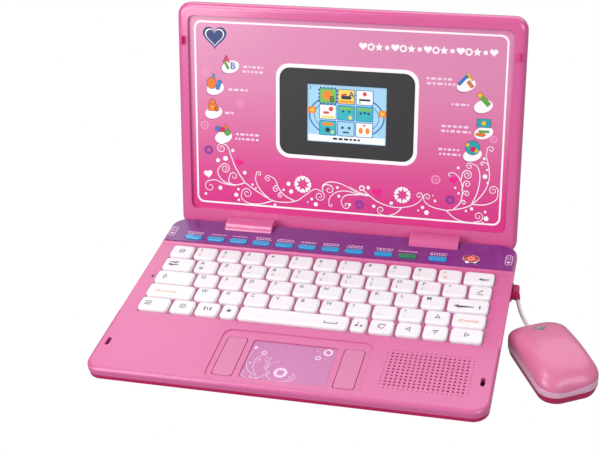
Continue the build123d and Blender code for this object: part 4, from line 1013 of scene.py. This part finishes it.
def keyCap(width):
    rings = [
        (cap["foot"], 0.0), (-1.2, 0.0), (0.05, 0.16), (0.42, 0.36), (0.70, 0.68), (0.85, 1.08),
        (cap["top"], cap["edge"] + 0.45), (cap["top"] - 0.02, 2.3), (cap["top"] - cap["dish"], 4.4),
    ]
    shell = bmesh.new()
    rows = []
    for z, inset in rings:
        radius = max(cap["corner"] - inset * 0.75, 0.5)
        loop = bar(0, 0, width - 2 * inset, cap["depth"] - 2 * inset, radius)
        rows.append([shell.verts.new((x, y, z)) for x, y in loop])
    for lower, upper in zip(rows, rows[1:]):
        for i in range(len(lower)):
            j = (i + 1) % len(lower)
            shell.faces.new((lower[i], lower[j], upper[j], upper[i]))
    shell.faces.new(rows[-1])
    shell.faces.new(list(reversed(rows[0])))
    mesh = bpy.data.meshes.new("keyCap")
    shell.to_mesh(mesh)
    shell.free()
    return mesh


keyboard = {
    "pitch": 19.9, "row": 16.8, "gap": 2.1, "first": -102.0, "stagger": 6.2, "y": -14.2, "half": 131.2, "width": 17.8,
}
letterRows = ("1234567890-", "AZERTYUIOP^", "QSDFGHJKLM", "WXCVBN?.!")
secondRows = ("&#\"'(+)_*=@", "@-~<>{}[]/:", "", "      ,;:")
rowNames = ("number_keys", "upper_letter_keys", "middle_letter_keys", "lower_letter_keys")
leftNames = ("escape_key", "language_key", "caps_lock_key", "left_shift_key")
rightNames = ("backspace_key", "delete_key", "enter_key", "right_shift_key")
caps = {}
legends = {}
for row, letters in enumerate(letterRows):
    y = keyboard["y"] - row * keyboard["row"]
    first = keyboard["first"] + row * keyboard["stagger"]
    xs = [first + i * keyboard["pitch"] for i in range(len(letters))]
    caps[rowNames[row]] = [(x, y, keyboard["width"]) for x in xs]
    legends[rowNames[row]] = [(x, y, letter) for x, letter in zip(xs, letters)]
    if row == 3:
        xs.append(first + len(letters) * keyboard["pitch"])
        caps["up_key"] = [(xs[-1], y, keyboard["width"])]
    leftEdge = xs[0] - keyboard["width"] / 2 - keyboard["gap"]
    rightEdge = xs[-1] + keyboard["width"] / 2 + keyboard["gap"]
    caps[leftNames[row]] = [((leftEdge - keyboard["half"]) / 2, y, keyboard["half"] + leftEdge)]
    caps[rightNames[row]] = [((rightEdge + keyboard["half"]) / 2, y, keyboard["half"] - rightEdge)]
bottomRow = [
    ("menu_key", 23.4), ("command_keys", 17.8), ("command_keys", 17.8), ("command_keys", 11.8), ("space_key", 0),
    ("command_keys", 11.8), ("command_keys", 17.8), ("left_key", 17.8), ("down_key", 17.8), ("right_key", 23.4),
]
spare = 2 * keyboard["half"] - sum(width for _, width in bottomRow) - keyboard["gap"] * (len(bottomRow) - 1)
edge = -keyboard["half"]
for name, width in bottomRow:
    width = width or spare
    caps.setdefault(name, []).append((edge + width / 2, keyboard["y"] - 4 * keyboard["row"], width))
    edge += width + keyboard["gap"]
for name, places in caps.items():
    meshes = []
    for width in sorted({round(place[2], 3) for place in places}):
        same = [(x, y, 1.0, 0.0) for x, y, w in places if abs(w - width) < 0.01]
        meshes.append(copies(name, keyCap(width), same, "keyWhite"))
    piece = addPiece(name + "_caps", joined(meshes), "keyWhite", name, "keycap", deck, smooth=40)
    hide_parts(name)

# Legends: single letters and figures, and drawn marks in place of words
legendTop = cap["top"] + 0.005
for name, letters in legends.items():
    meshes = [lettering(letter, x - 5.4, y + 1.5, 5.0) for x, y, letter in letters]
    addPiece(name + "_legends", joined(meshes), "legendGrey", name, "keycap", deck, legendTop)
    seconds = secondRows[rowNames.index(name)]
    small = [lettering(c, x - 5.2, y - 4.2, 3.8) for (x, y, _), c in zip(letters, seconds) if c != " "]
    if small:
        finish = "legendOrange" if name == "number_keys" else "legendGrey"
        addPiece(name + "_small_legends", joined(small), finish, name, "keycap", deck, legendTop)


def arrowHead(x, y, size, degrees):
    return turned([(x + size, y), (x - size * 0.6, y + size * 0.85), (x - size * 0.6, y - size * 0.85)], degrees, x, y)


def hollowArrow(x, y, size, degrees, line=0.45):
    return [arrowHead(x, y, size, degrees), arrowHead(x, y, size - line * 2.1, degrees)]


def longArrow(x, y, length, degrees=180, head=1.7, line=0.55):
    shaft = bar(x + head * 0.5, y, length - head, line, 0.1)
    point = arrowHead(x - length / 2 + head, y, head, 180)
    return [turned(loop, degrees + 180, x, y) for loop in (shaft, point)]


def shifted(loops, dx, dy):
    return [[(x + dx, y + dy) for x, y in loop] for loop in loops]


# Each mark is drawn about the middle of its own key
keyMarks = {
    "escape_key": [[arc(0, 0, 2.4), arc(0, 0, 1.8), bar(0, 0, 2.6, 0.6)]],
    "language_key": [longArrow(-4, 1.6, 9, 0) + longArrow(-4, -1.6, 9, 180)],
    "caps_lock_key": [hollowArrow(-8, 0.4, 2.3, 90) + [bar(-8, -2.6, 3.0, 0.6)]],
    "backspace_key": [longArrow(4, -1.5, 9, 180)],
    "delete_key": [[turned(bar(0, 0, 5.4, 0.7), 45, 0, 0), bar(0, -3.4, 5.0, 0.6)]],
    "enter_key": [longArrow(-3, -2, 15, 180, head=2.0, line=0.8) + [bar(9, -2, 1.0, 3.6)]],
    "menu_key": [[bar(-5, d, 5.6, 0.7) for d in (-1.8, 0, 1.8)]],
    "space_key": [[bar(29, -2.4, 10.0, 0.7), bar(24.2, -1.5, 0.7, 2.2), bar(33.8, -1.5, 0.7, 2.2)]],
    "up_key": [hollowArrow(0, 0, 2.5, 90)],
    "left_key": [hollowArrow(0, 0, 2.5, 180)],
    "down_key": [hollowArrow(0, 0, 2.5, 270)],
    "right_key": [hollowArrow(0, 0, 2.5, 0)],
    "command_keys": [
        [arc(0, 0, 2.5), arc(0, 0, 1.9), arc(0, 0, 0.7)],
        [bar(-2.4, 0, 1.0, 4.4), bar(0, 0, 1.0, 2.6), bar(2.4, 0, 1.0, 4.4)],
        [star(0, 0, 4.8)],
        [arc(-1.6, -1.9, 1.2, 0.9), bar(-0.7, 0.4, 0.5, 4.6, 0.2), arc(2.2, -1.9, 0.9)],
        [
            arc(0, 0, 2.6, start=30, end=330, steps=18) + arc(0, 0, 1.95, start=330, end=30, steps=18),
            arrowHead(2.2, 1.5, 1.2, 290),
        ],
    ],
}
for name, marksOnKeys in keyMarks.items():
    loops = []
    for key, mark in zip(caps[name], marksOnKeys):
        loops += shifted(mark, *key[:2])
    printed(name + "_marks", loops, "legendGrey", name, "keycap", deck, legendTop)
for name, offset, length in (("left_shift_key", -3, 18), ("right_shift_key", 0, 16)):
    x, y = caps[name][0][:2]
    outline = hollowArrow(2 - length / 2, 0, 2.4, 180)
    outline += [bar(2, 0, length - 5.6, 1.5, 0.4), bar(2, 0, length - 6.5, 0.7, 0.2)]
    printed(name + "_marks", shifted(outline, x + offset, y - 1.6), "legendOrange", name, "keycap", deck, legendTop)
powerMark = [
    arc(0, 0, 2.5, start=125, end=415, steps=20) + arc(0, 0, 1.8, start=415, end=125, steps=20),
    bar(0, 1.9, 0.75, 2.6),
]
powerMiddle = (110.1, 9.0)
printed("power_mark", shifted(powerMark, *powerMiddle), "inkSoft", "power_button", "orange", deck, 1.32)
print("keyboard done")

# Touchpad: a pale floral print under the finger
pad = {"height": -1.58, "stem": 0.5}
onPad = ("base", "pearl", deck, pad["height"])
padStems = [
    ([(-21, -144), (-27, -139), (-30.4, -130), (-29.6, -121), (-28.4, -117)], 0),
    ([(-19.3, -144.6), (-24.2, -136), (-24.6, -127), (-20.6, -122.6), (-16, -124.6)], 2.2, -1, 1.2),
    ([(-1, -147), (-7, -147.4), (-12.4, -142), (-13.6, -135), (-11.4, -129.6), (-8.6, -127.6)], 1.2, -1, 0.7),
    ([(-11, -140.4), (-17.6, -145.4), (-26, -146.6), (-31.4, -143.6)], 2.2, -1, 1.2),
    ([(-24.4, -131), (-21.6, -128.6)], 1.7, 1, 1.2),
    ([(-13.4, -133), (-15.6, -130.6)], 1.6, -1, 1.1),
    ([(-13.4, -137.4), (-16, -135.4)], 1.5, -1, 1.1),
    ([(-7, -147.4), (1, -146.6), (5.4, -143.4)], 1.6, 1, 1.2),
    ([(-1, -147), (5.4, -146), (8, -141.6), (6.6, -138.8)], 0.9, 1, 0.8),
]
ribbons("pad_scrolls", padStems, pad["stem"], "inkSoft", *onPad)
padFlowers = [(-3.2, -138.5, 1.0, 10), (24.9, -113.0, 0.72), (19.0, -119.7, 0.45), (-20.6, -119.9, 0.42)]
marks("pad_flowers", blossom(8, 3.5, 3.2), padFlowers, "inkSoft", *onPad)
padDots = [
    (-27.6, -131.9, 0.8), (-11.4, -139.2, 0.6), (24.7, -120.3, 0.5), (17, -112.5, 0.5), (19.7, -115.5, 0.4),
    (27.5, -121.7, 0.4), (-14.1, -125.3, 0.6), (-28.1, -115.6, 1.4), (-23.4, -145.2, 0.6), (-18.6, -146.4, 0.6),
]
marks("pad_dots", grown([arc(0, 0, 1.0, steps=12)]), padDots, "inkSoft", *onPad)
print("touchpad printed")

# Mouse: a domed cover over a pearly band, with a seam that dips and rises across the tail
body = {"width": 46.0, "length": 76.0, "corner": 14.0, "wall": 1.7, "round": 9.5, "crown": 1.5}
crest = {"tail": 20.0, "peak": 27.0, "peakAt": -6.3, "nose": 17.0}
seam = {"low": 7.5, "high": 13.0, "pivot": -30.0, "open": 0.0175, "dip": 1.5, "rise": 1.3}


def crestHeight(y):
    if y > crest["peakAt"]:
        share = (y - crest["peakAt"]) / (body["length"] / 2 + 1 - crest["peakAt"])
        return crest["peak"] + (crest["nose"] - crest["peak"]) * share**1.9
    share = (crest["peakAt"] - y) / (body["length"] / 2 + 1 + crest["peakAt"])
    return crest["peak"] + (crest["tail"] - crest["peak"]) * share**1.9


def seamWave(x, y):
    back = min(max((-y - 12) / 20, 0), 1)
    return back * (seam["rise"] * math.exp(-(((x - 15) / 8) ** 2)) - seam["dip"] * math.exp(-(((x + 5) / 9) ** 2)))


def coverHeight(x, y, inset):
    foot = seam["high"] + 0.2 + seam["open"] * max(y - seam["pivot"], 0) + seamWave(x, y)
    share = min(inset / body["round"], 1)
    side = math.sqrt(1 - (1 - share) ** 2)
    top = crestHeight(y) - body["crown"] * (2 * x / body["width"]) ** 2
    return foot + (top - foot) * side


def mouseLoop(inset):
    half = body["width"] / 2
    inset = min(inset, half - 0.02)
    width = 2 * (half - inset)
    length = body["length"] - 2 * inset
    return roundedLoop(width, length, min(body["corner"] - inset * 0.5, width / 2 * 0.98))


def roundedLoop(width, length, radius, corner=10, side=10):
    loop = []
    ends = ((1, 1, 0), (-1, 1, 90), (-1, -1, 180), (1, -1, 270))
    for sx, sy, start in ends:
        x, y = sx * (width / 2 - radius), sy * (length / 2 - radius)
        part = arc(x, y, radius, start=start, end=start + 90, steps=corner)
        if loop:
            loop += between(loop[-1], part[0], side)
        loop += part
    return loop + between(loop[-1], loop[0], side)


def between(a, b, count):
    return [(a[0] + (b[0] - a[0]) * i / count, a[1] + (b[1] - a[1]) * i / count) for i in range(1, count)]


def lofted(rows, closedTube=False):
    shell = bmesh.new()
    rings = [[shell.verts.new(point) for point in row] for row in rows]
    pairs = list(zip(rings, rings[1:]))
    if closedTube:
        pairs.append((rings[-1], rings[0]))
    for lower, upper in pairs:
        for i in range(len(lower)):
            j = (i + 1) % len(lower)
            shell.faces.new((lower[i], lower[j], upper[j], upper[i]))
    if not closedTube:
        shell.faces.new(rings[-1])
        shell.faces.new(list(reversed(rings[0])))
    bmesh.ops.remove_doubles(shell, verts=shell.verts, dist=0.06)
    bmesh.ops.dissolve_degenerate(shell, edges=shell.edges, dist=0.01)
    bmesh.ops.recalc_face_normals(shell, faces=shell.faces)
    mesh = bpy.data.meshes.new("lofted")
    shell.to_mesh(mesh)
    shell.free()
    return mesh


insets = [0, 0.25, 0.7, 1.4, 2.4, 3.6, 5.0, 6.6, 8.4, 10.6, 13.2, 16.0, 18.6, 20.6, 22.0, 22.98]
outer = [[(x, y, coverHeight(x, y, inset)) for x, y in mouseLoop(inset)] for inset in insets]
inner = [
    [(x, y, coverHeight(x, y, inset) - body["wall"]) for x, y in mouseLoop(inset + body["wall"])]
    for inset in insets[2:] if inset < 21
]
rim = [(x, y, coverHeight(x, y, 0)) for x, y in mouseLoop(body["wall"])]
dome = lofted(list(reversed(inner)) + [rim] + outer)
cover = addPiece("mouse_cover_dome", dome, "mousePink", "mouse_cover", "case", mouse, smooth=40)
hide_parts("mouse_top_cover")
bandProfile = [(0.5, 0.0), (0.05, 0.08), (0.0, 0.5), (0.05, 0.9), (0.45, 1.0), (body["wall"], 1.0), (body["wall"], 0.0)]
bandRows = []
for inset, height in bandProfile:  # how far in, and how far up its height
    row = []
    for x, y in mouseLoop(inset):
        top = seam["high"] + seamWave(x, y)
        row.append((x, y, seam["low"] + (top - seam["low"]) * height))
    bandRows.append(row)
band = addPiece("mouse_band", lofted(bandRows, True), "mousePearl", "base", "pearl", mouse, smooth=40)
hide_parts("mouse_middle_shell")
skirtTop = seam["low"] - 0.1
skirtProfile = [(2.2, 1.15), (1.7, 1.5), (1.1, 3.0), (0.6, 5.2), (0.35, skirtTop), (1.8, skirtTop)]
skirtProfile += [(2.6, 5.0), (4.2, 1.6), (4.2, 1.15)]  # back down inside the wall
skirt = [[(x, y, z) for x, y in mouseLoop(inset)] for inset, z in skirtProfile]
addPiece("mouse_skirt", lofted(skirt, True), "deepMagenta", "base", "deep", mouse, smooth=40)
crestMark = {"y": 21.5, "size": 9.5, "thick": 0.7}
markMesh = grown([heart(0, crestMark["y"], crestMark["size"])], crestMark["thick"])
for vertex in markMesh.vertices:
    top = crestHeight(vertex.co.y) - body["crown"] * (2 * vertex.co.x / body["width"]) ** 2
    vertex.co.z += top - crestMark["thick"] / 2
mark = addPiece("mouse_heart", markMesh, "chrome", "mouse_cover", "chrome", mouse)
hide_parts("mouse_badge")
print("mouse done")

# The mouse's cord, out of its plug and into the mouse's nose
cordRoute = [(149.6, -14.8, -17.0), (151.4, -20.4, -19.6), (154.0, -26.8, -21.0)]  # on the deck
noseHeight = 10.3
nose = [mouse @ Vector((0, body["length"] / 2 + out, noseHeight)) for out in (7.0, -1.8)]
corners = [deck @ Vector(point) for point in cordRoute] + nose


def roundedRoute(points, share=0.45, steps=8):
    route = [points[0]]
    for a, b, c in zip(points, points[1:], points[2:]):
        reach = share * min((b - a).length, (c - b).length)
        first = b + (a - b).normalized() * reach
        last = b + (c - b).normalized() * reach
        half = (b - a).angle(c - b) / 2
        radius = reach / math.tan(half)
        centre = b + ((first + last) / 2 - b).normalized() * (radius / math.cos(half))
        start, finish = (first - centre).normalized(), (last - centre).normalized()
        route += [centre + start.slerp(finish, i / steps) * radius for i in range(steps + 1)]
    return route + [points[-1]]


route = roundedRoute(corners)
cordLength = sum((b - a).length for a, b in zip(route, route[1:]))
line = bpy.data.curves.new("mouse_lead", "CURVE")
line.dimensions = "3D"
line.bevel_depth = 0.0015
line.bevel_resolution = 5
line.use_fill_caps = True
spline = line.splines.new("POLY")
spline.points.add(len(route) - 1)
for point, place in zip(spline.points, route):
    point.co = (*place, 1)
line.materials.append(finishes["cordWhite"])
lead = bpy.data.objects.new("mouse_lead", line)
bpy.context.scene.collection.objects.link(lead)
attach(lead, "base")
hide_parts("mouse_cord")
print("cord drawn, mm:", round(cordLength * 1000, 1))

# Camera
eye = {
    "place": (208.53, -682.47, 523.61),  # on the deck
    "azimuth": 0.235597,
    "climb": 0.581606,
    "roll": -0.05329,
    "lens": 66.28,
    "shift": (-0.140, -0.053),
}


def addCamera():
    az, el, roll = eye["azimuth"], eye["climb"], eye["roll"]
    back = Vector((math.sin(az) * math.cos(el), -math.cos(az) * math.cos(el), math.sin(el)))
    right = Vector((math.cos(az), math.sin(az), 0))
    up = back.cross(right)
    across = right * math.cos(roll) + up * math.sin(roll)
    over = up * math.cos(roll) - right * math.sin(roll)
    axes = deck.to_3x3() * (1 / mm)
    columns = Matrix((axes @ across, axes @ over, axes @ back)).transposed().to_4x4()
    columns.translation = deck @ Vector(eye["place"])
    camera = bpy.data.objects.new("camera", bpy.data.cameras.new("camera"))
    camera.data.lens = eye["lens"]
    camera.data.shift_x, camera.data.shift_y = eye["shift"]
    camera.data.clip_start = 0.01
    camera.matrix_world = columns
    bpy.context.scene.collection.objects.link(camera)
    bpy.context.scene.camera = camera


def addLight(name, place, target, size, power):
    lamp = bpy.data.lights.new(name, "AREA")
    lamp.shape = "RECTANGLE"
    lamp.size, lamp.size_y = size
    lamp.energy = power
    light = bpy.data.objects.new(name, lamp)
    light.location = place
    light.rotation_euler = (Vector(target) - Vector(place)).to_track_quat("-Z", "Y").to_euler()
    bpy.context.scene.collection.objects.link(light)


addCamera()
middle = (0, 0.02, 0.08)
lights = {  # place, what it points at, size, watts
    "key": ((-0.85, -0.95, 0.62), (-0.05, 0.05, 0.1), (0.8, 0.55), 10.0),
    "fill": ((0.95, -0.95, 0.85), middle, (0.8, 0.6), 7.5),
    "back": ((0.05, 1.0, 1.15), middle, (2.2, 1.2), 13.5),
    "above": ((-0.6, -0.45, 1.25), middle, (0.5, 0.5), 5.0),
}
for name, settings in lights.items():
    addLight(name, *settings)
room = {"glow": 0.34, "seen": 1.0}  # how bright the room is for the object, and for the camera
world = bpy.data.worlds.new("world")
world.use_nodes = True
skyTree = world.node_tree
sky = skyTree.nodes["Background"]
seen = skyTree.nodes.new("ShaderNodeLightPath")
bright = skyTree.nodes.new("ShaderNodeMix")
bright.inputs["A"].default_value = room["glow"]
bright.inputs["B"].default_value = room["seen"]
sky.inputs["Color"].default_value = (1, 1, 1, 1)
wire(
    skyTree,
    (seen, "Is Camera Ray", bright, "Factor"),
    (bright, "Result", sky, "Strength"),
)
bpy.context.scene.world = world
bpy.context.scene.view_settings.view_transform = "Standard"
